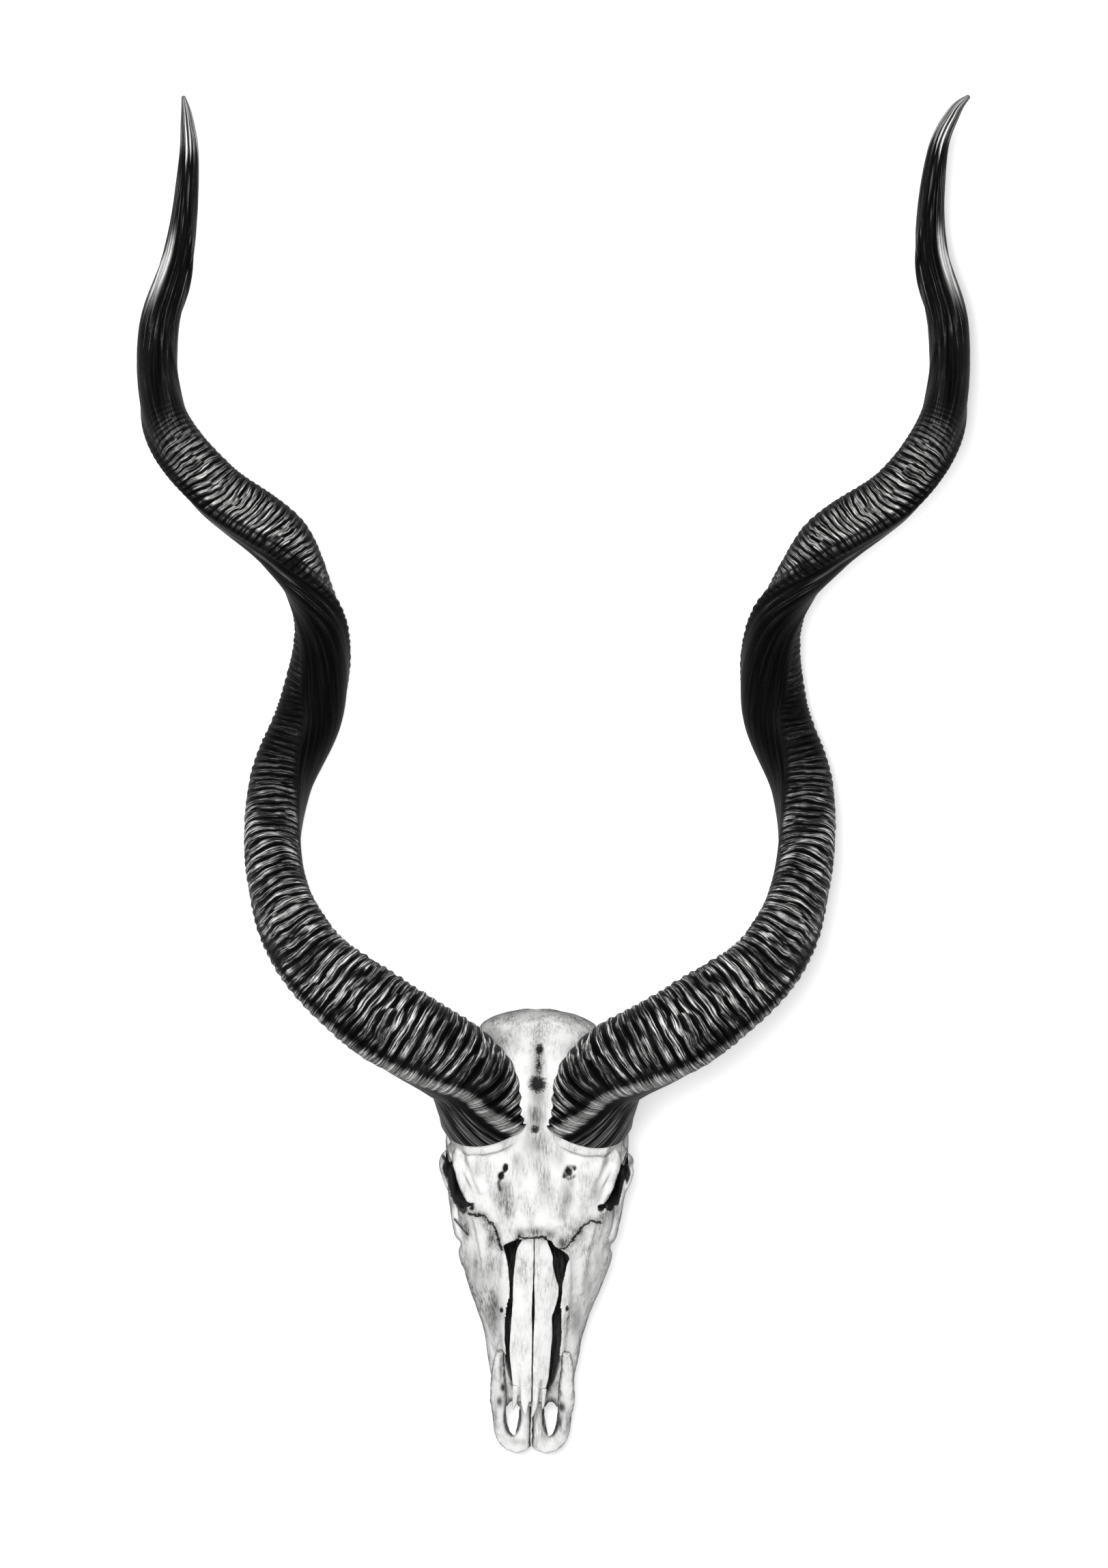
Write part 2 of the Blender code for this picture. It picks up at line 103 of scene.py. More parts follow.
sky = bpy.data.worlds.new("sky")
sky.use_nodes = True
sky.node_tree.nodes["Background"].inputs["Color"].default_value = (1, 1, 1, 1)
sky.node_tree.nodes["Background"].inputs["Strength"].default_value = SKY_STRENGTH
scene.world = sky
scene.view_settings.view_transform = "Standard"

lamp_data = bpy.data.lights.new("lamp", "AREA")
lamp_data.energy = LAMP_POWER
lamp_data.size = LAMP_SIZE
lamp = bpy.data.objects.new("lamp", lamp_data)
lamp.location = LAMP_PLACE
lamp.rotation_euler = (Vector(LAMP_PLACE) - Vector((0, 0, 0))).to_track_quat("Z", "Y").to_euler()
scene.collection.objects.link(lamp)

# Horns
#
# Two hollow sheaths of horn, each grown as one piece over a core of bone. They twist as they grow: a keel runs up
# each from the front of its base, one face stays smooth, and the other carries cross ridges that die out higher up.
#
# Each row is a station in millimetres: x, y, z of the middle, half the long width, half the short width, and the
# direction of the keel, 0 towards the skull's middle line, 90 up, 180 outwards and 270 down.
HORN_LEFT = [
    (-60, -289, 100, 42.0, 35.0, 55),
    (-72.3, -255.8, 124, 35.0, 34.0, 100),
    (-90.7, -238.5, 136, 35.5, 33.0, 130),
    (-122, -219, 142, 36.5, 30.0, 150),
    (-153, -198, 139, 36.5, 29.0, 162),
    (-206, -151, 118, 30.0, 25.0, 178),
    (-237, -84, 79, 28.5, 23.5, 222),
    (-234, -11, 34, 28.5, 23.5, 275),
    (-207, 57, 26, 28.0, 22.0, 320),
    (-200, 128, 60, 23.5, 18.5, 372),
    (-228, 194, 95, 26.5, 20.5, 468),
    (-289, 245, 103, 23.5, 18.5, 512),
    (-330, 303, 76, 21.5, 18.0, 560),
    (-337, 376, 47, 17.5, 16.0, 650),
    (-319, 448, 37, 13.5, 12.5, 760),
    (-311, 521, 52, 9.0, 8.5, 815),
    (-312, 557, 66, 5.5, 5.2, 830),
    (-315, 577, 76, 1.5, 1.5, 835),
]
HORN_RIGHT = [
    (30.2, -290.5, 100, 42.0, 35.0, 55),
    (42.3, -256.8, 124, 35.0, 34.0, 100),
    (59.7, -240.5, 136, 35.5, 33.0, 130),
    (92, -223, 142, 36.5, 30.0, 150),
    (123, -203, 139, 36.0, 29.0, 162),
    (180, -156, 118, 29.5, 25.0, 178),
    (211, -88, 79, 28.0, 23.5, 222),
    (212, -13, 34, 28.0, 23.5, 275),
    (188, 58, 26, 28.0, 22.0, 320),
    (190, 130, 60, 24.0, 18.5, 372),
    (229, 193, 95, 26.0, 20.5, 468),
    (292, 242, 103, 22.5, 18.5, 512),
    (330, 304, 76, 21.0, 18.0, 560),
    (336, 379, 47, 18.0, 16.0, 650),
    (321, 453, 37, 14.5, 13.0, 760),
    (326, 528, 52, 9.2, 8.7, 815),
    (340, 563, 66, 5.8, 5.4, 830),
    (353, 577, 76, 1.5, 1.5, 835),
]
HORN_SIZES = {
    "Rings": 1080,
    "Sides": 88,
    "Long Axis From Keel": 40.0,
    "Keel Rise": 0.15,
    "Keel Spread": 15.0,
    "Base Share": 0.08,
    "Base Bulge": 7.0,
    "Base Bulge Turn": 35.0,
    "Base Keel Loss": 0.7,
    "Edge Angle": 138.0,
    "Edge Rise": 0.05,
    "Ridge Pitch": 10.5,
    "Ridge Height": 2.1,
    "Ridge Wander": 8.0,
    "Ridged Share": 0.735,
    "Grain Height": 0.5,
}


class Field:
    """A value inside a node tree. Arithmetic on it adds the nodes that work it out."""

    def __init__(self, tree, socket):
        self.tree = tree
        self.socket = socket

    def math(self, operation, *others, clamp=False):
        node = self.tree.nodes.new("ShaderNodeMath")
        node.operation = operation
        node.use_clamp = clamp
        for slot, value in zip(node.inputs, (self, *others)):
            feed(self.tree, slot, value)
        return Field(self.tree, node.outputs[0])

    def vector(self, operation, other=None, scale=None):
        node = self.tree.nodes.new("ShaderNodeVectorMath")
        node.operation = operation
        feed(self.tree, node.inputs[0], self)
        if other is not None:
            feed(self.tree, node.inputs[1], other)
        if scale is not None:
            feed(self.tree, node.inputs["Scale"], scale)
        return Field(self.tree, node.outputs["Value" if operation == "DOT_PRODUCT" else "Vector"])

    def __add__(self, other):
        return self.math("ADD", other)

    def __sub__(self, other):
        return self.math("SUBTRACT", other)

    def __rsub__(self, other):
        return (self * -1.0).math("ADD", other)

    def __mul__(self, other):
        return self.math("MULTIPLY", other)

    def __truediv__(self, other):
        return self.math("DIVIDE", other)

    def __pow__(self, other):
        return self.math("POWER", other)

    __radd__ = __add__
    __rmul__ = __mul__

    def clamped(self):
        return self.math("ADD", 0.0, clamp=True)

    def between(self, low, high):
        """0 at low, 1 at high, with a soft start and end."""
        node = self.tree.nodes.new("ShaderNodeMapRange")
        node.interpolation_type = "SMOOTHSTEP"
        feed(self.tree, node.inputs["Value"], self)
        node.inputs["From Min"].default_value = low
        node.inputs["From Max"].default_value = high
        return Field(self.tree, node.outputs["Result"])


def feed(tree, slot, value):
    if isinstance(value, Field):
        tree.links.new(value.socket, slot)
    else:
        slot.default_value = value


def packed(tree, x, y, z=0.0):
    node = tree.nodes.new("ShaderNodeCombineXYZ")
    for slot, value in zip(node.inputs, (x, y, z)):
        feed(tree, slot, value)
    return Field(tree, node.outputs[0])


def unpacked(tree, vector):
    node = tree.nodes.new("ShaderNodeSeparateXYZ")
    feed(tree, node.inputs[0], vector)
    return [Field(tree, s) for s in node.outputs]


def noise(tree, place, scale=1.0, detail=2.0, roughness=0.5):
    """Noise about 0.5 at a place."""
    node = tree.nodes.new("ShaderNodeTexNoise")
    feed(tree, node.inputs["Vector"], place)
    node.inputs["Scale"].default_value = scale
    node.inputs["Detail"].default_value = detail
    node.inputs["Roughness"].default_value = roughness
    return Field(tree, node.outputs[0])


def horn_tree():
    """The sweep of a horn along its stations, which come as a chain of points with their sections."""
    tree = bpy.data.node_groups.new("horn", "GeometryNodeTree")
    add_socket = tree.interface.new_socket
    add_socket("Geometry", in_out="INPUT", socket_type="NodeSocketGeometry")
    for name, value in HORN_SIZES.items():
        kind = "NodeSocketInt" if isinstance(value, int) else "NodeSocketFloat"
        add_socket(name, in_out="INPUT", socket_type=kind).default_value = value
    add_socket("Inwards", in_out="INPUT", socket_type="NodeSocketFloat")
    add_socket("Material", in_out="INPUT", socket_type="NodeSocketMaterial")
    add_socket("Geometry", in_out="OUTPUT", socket_type="NodeSocketGeometry")
    start = tree.nodes.new("NodeGroupInput")
    given = {s.name: Field(tree, s) for s in start.outputs if s.name}

    def node(kind, **inputs):
        made = tree.nodes.new(kind)
        for name, value in inputs.items():
            feed(tree, made.inputs[name.replace("_", " ")], value)
        return made

    def named(name, kind="FLOAT"):
        made = node("GeometryNodeInputNamedAttribute", Name=name)
        made.data_type = kind
        return Field(tree, [s for s in made.outputs if s.enabled][0])

    chain = node("GeometryNodeMeshToCurve", Mesh=given["Geometry"])
    smooth = node("GeometryNodeCurveSplineType", Curve=Field(tree, chain.outputs[0]))
    smooth.spline_type = "CATMULL_ROM"
    finer = node("GeometryNodeSetSplineResolution", Geometry=Field(tree, smooth.outputs[0]))
    finer.inputs["Resolution"].default_value = 40
    path = Field(tree, finer.outputs[0])
    length = Field(tree, node("GeometryNodeCurveLength", Curve=path).outputs[0]) * 1000.0

    sides = given["Sides"] + 1.0
    grid = node("GeometryNodeMeshGrid", Vertices_X=given["Rings"], Vertices_Y=sides)
    across, around, _ = unpacked(tree, Field(tree, node("GeometryNodeInputPosition").outputs[0]))
    share = across + 0.5
    turn = (around + 0.5) * 360.0

    sample = tree.nodes.new("GeometryNodeSampleCurve")
    sample.mode = "FACTOR"
    sample.data_type = "FLOAT_VECTOR"
    sample.use_all_curves = True
    feed(tree, sample.inputs["Curves"], path)
    value_slot = [s for s in sample.inputs if s.name == "Value" and s.enabled][0]
    feed(tree, value_slot, named("section", "FLOAT_VECTOR"))
    feed(tree, sample.inputs["Factor"], share)
    section = [s for s in sample.outputs if s.name == "Value" and s.enabled][0]
    middle = Field(tree, sample.outputs["Position"])
    onward = Field(tree, sample.outputs["Tangent"])
    long_half, short_half, keel_turn = unpacked(tree, Field(tree, section))

    upright = packed(tree, 0.0, 0.0, 1.0)
    front = upright.vector("SUBTRACT", onward.vector("SCALE", scale=onward.vector("DOT_PRODUCT", upright)))
    front = front.vector("NORMALIZE")
    inner = onward.vector("CROSS_PRODUCT", front).vector("SCALE", scale=given["Inwards"])

    # The section: an oval, the keel and a softer edge on the far side of the smooth face
    from_long = (turn - given["Long Axis From Keel"]).math("RADIANS")
    part_a = short_half * from_long.math("COSINE")
    part_b = long_half * from_long.math("SINE")
    oval = long_half * short_half / (part_a * part_a + part_b * part_b).math("SQRT")
    from_keel = turn.math("MINIMUM", 360.0 - turn) / given["Keel Spread"]
    keel = given["Keel Rise"] * long_half * (from_keel * from_keel * -1.0).math("EXPONENT")
    base = (1.0 - share / given["Base Share"]).clamped()
    keel = keel * (1.0 - base * given["Base Keel Loss"])
    lean = (keel_turn + turn - given["Base Bulge Turn"]).math("RADIANS").math("COSINE").math("MAXIMUM", 0.0)
    bulge = given["Base Bulge"] * base * lean * lean
    from_edge = (turn - given["Edge Angle"]) / 16.0
    edge = given["Edge Rise"] * long_half * (from_edge * from_edge * -1.0).math("EXPONENT")

    # The ridges: a wandering wave along the horn, on the ribbed face only, that dies out higher up
    distance = share * length
    angle = turn.math("RADIANS")
    west, east = angle.math("COSINE"), angle.math("SINE")
    slow = noise(tree, packed(tree, west * 0.55, east * 0.55, distance / 45.0), detail=1.0)
    quick = noise(tree, packed(tree, west * 2.2, east * 2.2, distance / 9.0), detail=2.0)
    wander = (slow - 0.5) * given["Ridge Wander"] * 2.0 + (quick - 0.5) * 3.0
    bow = (turn / 360.0 * math.tau).math("SINE") * -4.0
    phase = (distance + wander + bow) / given["Ridge Pitch"] * (share * 0.6 + 1.0)
    wide_wave = (phase * math.tau).math("COSINE") * 0.5 + 0.5
    close_wave = (phase * (1.26 * math.tau)).math("COSINE") * 0.5 + 0.5
    forks = noise(tree, packed(tree, west * 1.1, east * 1.1, distance / 26.0), detail=1.0).between(0.44, 0.58)
    wave = wide_wave + (close_wave - wide_wave) * forks
    lively = noise(tree, packed(tree, west * 1.3, east * 1.3, distance / 12.0), detail=2.0)
    fine = noise(tree, packed(tree, west * 2.0, east * 2.0, phase * 4.0), detail=1.0)
    crest = (wave ** 0.7) * (lively * 1.3 + 0.2) + (fine - 0.5) * 0.4
    from_keel_turn = turn.math("MINIMUM", 360.0 - turn)
    over_keel = (1.0 - from_keel_turn / 14.0).clamped()
    into_ribbed = ((turn - given["Edge Angle"]) / 30.0).clamped()
    ribbed = into_ribbed.math("MAXIMUM", over_keel)
    fade = (1.0 - share / given["Ridged Share"]).clamped() ** 0.45
    ridge = given["Ridge Height"] * (crest - 0.35) * ribbed * fade

    # Fine grain along the horn, stronger where there are no ridges
    grain_place = packed(tree, west * 7.0, east * 7.0, distance / 60.0)
    grain = (noise(tree, grain_place, detail=3.0) - 0.5) * given["Grain Height"]
    grain = grain * (1.25 - ribbed * fade)

    ring_number = share * (given["Rings"] - 1.0)
    rings_left = given["Rings"] - 1.0 - ring_number
    open_end = ring_number.math("GREATER_THAN", 0.5) * rings_left.math("GREATER_THAN", 0.5)
    radius = (oval + keel + bulge + edge + ridge + grain).math("MAXIMUM", 0.4) * open_end / 1000.0
    facing = (keel_turn + turn).math("RADIANS")
    outwards, upwards = facing.math("COSINE") * -1.0, facing.math("SINE")
    step_in = inner.vector("SCALE", scale=radius * facing.math("COSINE"))
    step_up = front.vector("SCALE", scale=radius * facing.math("SINE"))
    place = middle.vector("ADD", step_in).vector("ADD", step_up)

    shape = Field(tree, grid.outputs["Mesh"])
    kept = {"crest": wave, "ribbed": ribbed * fade, "share": share, "phase": phase}
    kept.update(outwards=outwards, upwards=upwards)
    for name, value in kept.items():
        store = node("GeometryNodeStoreNamedAttribute", Geometry=shape, Name=name)
        store.data_type = "FLOAT"
        feed(tree, [s for s in store.inputs if s.name == "Value" and s.enabled][0], value)
        shape = Field(tree, store.outputs[0])
    store = node("GeometryNodeStoreNamedAttribute", Geometry=shape, Name="UVMap")
    store.data_type = "FLOAT2"
    store.domain = "CORNER"
    uv = packed(tree, share, (around + 0.5))
    feed(tree, [s for s in store.inputs if s.name == "Value" and s.enabled][0], uv)
    shape = Field(tree, store.outputs[0])
    moved = node("GeometryNodeSetPosition", Geometry=shape, Position=place)
    closed = node("GeometryNodeMergeByDistance", Geometry=Field(tree, moved.outputs[0]), Distance=1e-5)
    rounded = node("GeometryNodeSetShadeSmooth", Geometry=Field(tree, closed.outputs[0]))
    whole = node("GeometryNodeRealizeInstances", Geometry=Field(tree, rounded.outputs[0]))
    dressed = node("GeometryNodeSetMaterial", Geometry=Field(tree, whole.outputs[0]), Material=given["Material"])
    end = tree.nodes.new("NodeGroupOutput")
    tree.links.new(dressed.outputs[0], end.inputs[0])
    return tree


def shader_tree(name):
    """A new material: itself, its node tree and its shader."""
    made = bpy.data.materials.new(name)
    made.use_nodes = True
    return made, made.node_tree, made.node_tree.nodes["Principled BSDF"]


def read_attribute(tree, name):
    node = tree.nodes.new("ShaderNodeAttribute")
    node.attribute_name = name
    return Field(tree, node.outputs["Fac"])


def object_place(tree):
    """The place on the object in millimetres, as x, y and z."""
    node = tree.nodes.new("ShaderNodeTexCoord")
    return unpacked(tree, Field(tree, node.outputs["Object"]).vector("SCALE", scale=1000.0))


def shades(tree, value, stops):
    """Grey shades along a value. Stops are position and shade."""
    node = tree.nodes.new("ShaderNodeValToRGB")
    ramp = node.color_ramp
    while len(ramp.elements) < len(stops):
        ramp.elements.new(0.5)
    for element, (position, shade) in zip(ramp.elements, stops):
        element.position = position
        element.color = (shade, shade, shade * WARMTH, 1)
    feed(tree, node.inputs[0], value)
    return Field(tree, node.outputs[0])


def bump(tree, shader, height, distance_mm, strength=1.0):
    node = tree.nodes.new("ShaderNodeBump")
    node.inputs["Distance"].default_value = distance_mm / 1000
    node.inputs["Strength"].default_value = strength
    feed(tree, node.inputs["Height"], height)
    tree.links.new(node.outputs[0], shader.inputs["Normal"])


WARMTH = 0.985
HORN_ROUGHNESS = 0.55
HORN_GLOSS = 0.05
HORN_SHADES = [(0.0, 0.0), (0.2, 0.01), (0.5, 0.16), (1.0, 0.85)]


def horn_material():
    made, tree, shader = shader_tree("horn")
    crest = read_attribute(tree, "crest")
    ribbed = read_attribute(tree, "ribbed")
    share = read_attribute(tree, "share")
    uv = tree.nodes.new("ShaderNodeUVMap")
    uv.uv_map = "UVMap"
    _, around, _ = unpacked(tree, Field(tree, uv.outputs[0]))
    angle = around * math.tau
    west, east = angle.math("COSINE"), angle.math("SINE")

    # Fine marks that run with the ridges, long streaks where the horn is smooth
    phase = read_attribute(tree, "phase")
    strokes = noise(tree, packed(tree, west * 1.4, east * 1.4, phase * 8.0), detail=3.5, roughness=0.7)
    patches = noise(tree, packed(tree, west * 1.3, east * 1.3, share * 32.0), detail=3.0)
    outwards, upwards = read_attribute(tree, "outwards"), read_attribute(tree, "upwards")
    near_tip = share.between(0.6, 0.7)
    across = west * 8.0 + (outwards * 8.0 - west * 8.0) * near_tip
    up_across = east * 8.0 + (upwards * 8.0 - east * 8.0) * near_tip
    streaks = noise(tree, packed(tree, across, up_across, share * 11.0), detail=5.0, roughness=0.7)
    from_keel = 1.0 - (1.0 - around * 2.0).math("ABSOLUTE")
    keel_line = (1.0 - (from_keel - 0.012).math("ABSOLUTE") / 0.045).clamped().math("SQRT")
    beside_keel = (1.0 - (from_keel - 0.085).math("ABSOLUTE") / 0.05).clamped()
    scattered = share + (strokes - 0.5) * 0.06 + (patches - 0.5) * 0.05
    black_turn = scattered.between(0.32, 0.41) * (1.0 - scattered.between(0.5, 0.56)) * 0.7
    black_stretch = scattered.between(0.69, 0.74) * (1.0 - scattered.between(0.77, 0.83)) * 0.5

    band = crest.between(0.12, 0.55)
    bold = (strokes.between(0.39, 0.66) * 0.9 + 0.06) * (patches.between(0.32, 0.62) * 0.62 + 0.38)
    # Higher up the ridges are paler where they face up: a painted highlight
    faint_ridges_painted_highlight = (strokes.between(0.36, 0.68) * 0.85 + 0.08) * (upwards.between(0.2, 0.95) * 0.75 + 0.3)
    on_ridge = band * (bold + (faint_ridges_painted_highlight - bold) * share.between(0.46, 0.56) + 0.03)
    on_ridge = on_ridge * (1.0 - beside_keel * 0.75) * (1.0 - keel_line * 0.85)
    shown_ridges = (ribbed + (patches - 0.5) * 0.3 * share).between(0.0, 0.42)
    on_smooth = streaks.between(0.44, 0.68) * (patches + 0.2) * (0.55 + near_tip * 0.2)
    hatching = noise(tree, packed(tree, west * 34.0, east * 34.0, share * 26.0), detail=2.0)
    base_hatching = (1.0 - share.between(0.05, 0.11)) * hatching.between(0.45, 0.62) * 0.42
    on_smooth = on_smooth.math("MAXIMUM", base_hatching) * (1.0 - beside_keel)
    faces = shown_ridges * on_ridge + (1.0 - shown_ridges) * on_smooth
    faces = faces * (1.0 - black_turn) * (1.0 - black_stretch)
    # A paler patch near the tip where the horn faces up and out: a painted highlight
    painted_highlight_patch = share.between(0.8, 0.845) * (1.0 - share.between(0.86, 0.9))
    painted_highlight_patch = painted_highlight_patch * outwards.between(0.2, 0.6) * upwards.between(0.2, 0.6) * (streaks + 0.2)
    keel = keel_line * (strokes.between(0.35, 0.62) * 0.36 + 0.3) * (1.0 - share / 0.4).clamped().math("SQRT")
    tip = (share + (streaks - 0.5) * 0.05).between(0.945, 0.962) * (streaks.between(0.35, 0.7) * 0.5 + 0.12)
    light = faces + keel + tip + painted_highlight_patch
    tree.links.new(shades(tree, light.clamped(), HORN_SHADES).socket, shader.inputs["Base Color"])
    shader.inputs["Roughness"].default_value = HORN_ROUGHNESS
    shader.inputs["Specular IOR Level"].default_value = HORN_GLOSS
    bump(tree, shader, strokes * 0.6 + streaks * 0.5, 0.6)
    return made


def guide_line(name, stations):
    mesh = bpy.data.meshes.new(name)
    places = [(x / 1000, y / 1000, z / 1000) for x, y, z, *_ in stations]
    mesh.from_pydata(places, [(i, i + 1) for i in range(len(places) - 1)], [])
    section = mesh.attributes.new("section", "FLOAT_VECTOR", "POINT")
    for item, row in zip(section.data, stations):
        item.vector = row[3:]
    guide = bpy.data.objects.new(name, mesh)
    scene.collection.objects.link(guide)
    return guide


def shown_mesh(obj):
    """The mesh of an object with its modifiers worked out."""
    graph = bpy.context.evaluated_depsgraph_get()
    return bpy.data.meshes.new_from_object(obj.evaluated_get(graph), depsgraph=graph)


def build_horn(name, stations, inwards):
    guide = guide_line(name + "_guide", stations)
    grown = guide.modifiers.new("horn", "NODES")
    grown.node_group = horn_nodes
    for item in horn_nodes.interface.items_tree:
        if item.name == "Inwards":
            grown[item.identifier] = inwards
        if item.name == "Material":
            grown[item.identifier] = horn_finish
        if item.name in HORN_SIZES:
            grown[item.identifier] = HORN_SIZES[item.name]
    mesh = shown_mesh(guide)
    bpy.data.objects.remove(guide)
    bm = bmesh.new()
    bm.from_mesh(mesh)
    bmesh.ops.recalc_face_normals(bm, faces=bm.faces)
    lowest = min(vertex.co.z for vertex in bm.verts)
    bmesh.ops.translate(bm, vec=(0, 0, -lowest), verts=bm.verts)
    bm.to_mesh(mesh)
    bm.free()
    piece = bpy.data.objects.new(name + "_sheath", mesh)
    scene.collection.objects.link(piece)
    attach(piece, "root")
    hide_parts(name)
    return piece


horn_nodes = horn_tree()
horn_finish = horn_material()
horns = [build_horn("horn_left", HORN_LEFT, 1.0), build_horn("horn_right", HORN_RIGHT, -1.0)]

# Cranium
#
# The bones of brow, eye sockets, cheeks, upper jaws, palate and braincase, grown together along zigzag seams. It is
# one shell of dry bone, with grey dirt in its seams, painted shade in its pits, eye sockets, nose and on its steep
# walls, and it carries the two horns on short stumps.
#
# From here on places are millimetres in the skull's own frame: x from its middle line, y from the root of the nasal
# bones towards the horns, z from the floor. Each row of the body is a cross-section: y, height of the top, then the
# roof edge, the widest point and the lower edge as x and z, and the height of the underside.
SKULL_PLACE = (-16.6, -392.7, 0.0)
SKULL_LEAN_DEG = -0.95
RIGHT_SIDE_WIDTH = 1.01
LEFT_SIDE_WIDTH = 0.985
FIT_GAP = 0.35
BODY = [
    (-146, 34, 12, 34, 25, 30, 20, 25, 25),
    (-134, 36, 13, 36, 29, 32, 23, 24, 24),
    (-124, 46, 14, 46, 34, 38, 26, 24, 24),
    (-105, 62, 18, 61, 38, 44, 31, 20, 23),
    (-80, 77, 21, 75, 42, 48, 35, 19, 24),
    (-50, 90, 24, 86, 53, 50, 41, 17, 25),
    (-18, 101, 28, 97, 65, 56, 45, 17, 26),
    (5, 109, 33, 105, 66, 66, 46, 19, 27),
    (30, 117, 42, 114, 66, 84, 56, 38, 29),
    (52, 123, 49, 120, 67, 90, 61, 51, 33),
    (85, 129, 48, 126, 62, 104, 34, 46, 38),
    (112, 131, 42, 127, 54, 98, 24, 44, 40),
    (140, 127, 38, 120, 51, 86, 27, 44, 40),
    (165, 117, 36, 109, 51, 78, 29, 42, 38),
    (179, 106, 34, 98, 50, 72, 28, 46, 43),
    (186, 98, 27, 92, 41, 70, 24, 49, 48),
    (191, 88, 18, 85, 27, 68, 17, 54, 53),
    (194, 80, 8, 77, 11, 67, 8, 60, 59),
]
ORBIT_CENTRE = (64, 47, 88)
ORBIT_FACING = (0.80, -0.45, 0.40)
ORBIT_RADIUS = 25
ORBIT_DEPTH = 34
ORBIT_SUNK = 10
ORBIT_RIM = 4.5
# The open crescent between brow and eye socket: x, y, z, half width, half height
EYE_CRESCENT = [
    (-76.5, 72, 100, 1.2, 10),
    (-75, 64, 98, 2.8, 16),
    (-72.8, 56, 97, 3.6, 18),
    (-71, 47, 96, 4.2, 20),
    (-67.7, 38, 95, 3.7, 18),
    (-63, 30.5, 95, 3.8, 13),
    (-56, 28.5, 100, 2.2, 8),
    (-51, 28.7, 104, 1.0, 4),
]
# The edge of the brow that overhangs each eye socket: x, y, z, half width, half height
BROW_EDGE = [
    (60, 78, 113, 7, 5),
    (66.5, 67, 108, 5.5, 5),
    (63, 54, 106, 5.5, 5),
    (60, 43, 104, 5, 5),
    (55.5, 34, 102, 4.5, 5),
    (48, 28, 100, 4, 5),
]
BROW_UNDERSIDE = 92
# Bars of bone: x, y, z, half width, half height
CHEEK_ARCH = [
    (50, -30, 52, 8, 14),
    (62, -2, 58, 6, 13),
    (69, 26, 62, 5, 11),
    (73, 55, 65, 4, 9),
    (74, 84, 69, 4, 8),
    (68, 110, 74, 5, 8),
    (52, 130, 78, 8, 9),
]
JUGULAR_PROCESS = [(36, 170, 62, 7, 5), (34, 169, 42, 6, 4), (31, 164, 22, 3, 2)]
CONDYLE = ((15, 181, 48), (11, 11, 15))
EYE_BAR = [(56, 84, 116, 9, 6), (66, 78, 106, 9, 5), (73, 72, 90, 8, 4), (75, 68, 72, 7, 4)]
EAR_BULLA = ((24, 147, 40), (11, 16, 14))
# The stump under each horn goes down from the horn's base, and gets narrower there to stay out of the eye socket
STUMP_DEPTHS = (-3, 8, 16, 24)
STUMP_GROWTH = (-1.5, -1, -5, -12)
# Hollows: the nose, the way from the nose to the throat, and the room for the brain
NOSE_HOLLOW = [
    (0, -150, 50, 14, 20),
    (0, -128, 54, 18, 22),
    (0, -105, 60, 22, 26),
    (0, -60, 66, 27, 30),
    (0, -20, 68, 30, 30),
    (0, 12, 72, 22, 26),
]
THROAT_WAY = [(0, 34, 24, 12, 14), (0, 60, 26, 13, 18), (0, 84, 30, 12, 14), (0, 102, 30, 8, 8)]
BRAIN_HOLLOW = [
    (0, 92, 90, 20, 18),
    (0, 110, 90, 34, 29),
    (0, 140, 86, 37, 32),
    (0, 163, 76, 29, 24),
    (0, 180, 62, 13, 13),
    (0, 210, 52, 12, 12),
]
# The two slots in the palate behind the front teeth's place: centre and radii of the left one
PALATE_SLOT = ((16.3, -154.5, 30), (6.2, 13.5, 60))
# Edges of the opening over the nose: y, left, right
ROOF_SLOT = [
    (-150, 21.0, 17.5),
    (-131, 20.6, 18.8),
    (-114, 19.9, 21.6),
    (-106, 20.2, 21.2),
    (-95, 21.4, 20.9),
    (-82, 21.0, 20.6),
    (-68, 21.0, 22.3),
    (-61, 20.2, 22.0),
    (-50, 20.4, 23.3),
    (-38, 20.8, 24.2),
    (-30, 21.5, 26.0),
    (-22, 22.5, 27.5),
    (-16, 24.0, 29.4),
    (-10, 25.5, 24.0),
    (-6, 25.5, 17.0),
    (-1, 15.0, 14.0),
]
CRANIUM_GRAIN = 1.05
CRANIUM_TRIANGLES = 176000

SKULL_TO_WORLD = (
    Matrix.Scale(0.001, 4)
    @ Matrix.Translation(SKULL_PLACE)
    @ Matrix.Rotation(math.radians(SKULL_LEAN_DEG), 4, "Z")
)


def smooth_keys(keys, count):
    """Rows of a smooth curve through the key rows."""
    keys = np.array(keys, float)
    padded = np.vstack([2 * keys[0] - keys[1], keys, 2 * keys[-1] - keys[-2]])
    found = []
    for position in np.linspace(0, len(keys) - 1, count):
        i = min(int(position), len(keys) - 2)
        t = position - i
        before, start, end, after = padded[i : i + 4]
        bend = 2 * before - 5 * start + 4 * end - after
        twist = 3 * start - before - 3 * end + after
        found.append(start + 0.5 * ((end - before) * t + bend * t**2 + twist * t**3))
    return np.array(found)


def mirrored(point, side):
    return (point[0] * side, *point[1:])


def add_loft(bm, rings):
    """Skins closed rings of points and closes both ends."""
    loops = [[bm.verts.new(p) for p in ring] for ring in rings]
    count = len(loops[0])
    for low, high in zip(loops, loops[1:]):
        for i in range(count):
            j = (i + 1) % count
            bm.faces.new((low[i], low[j], high[j], high[i]))
    for loop in (loops[0][::-1], loops[-1]):
        middle = bm.verts.new(sum((v.co for v in loop), Vector()) / count)
        for i in range(count):
            bm.faces.new((loop[i], loop[(i + 1) % count], middle))


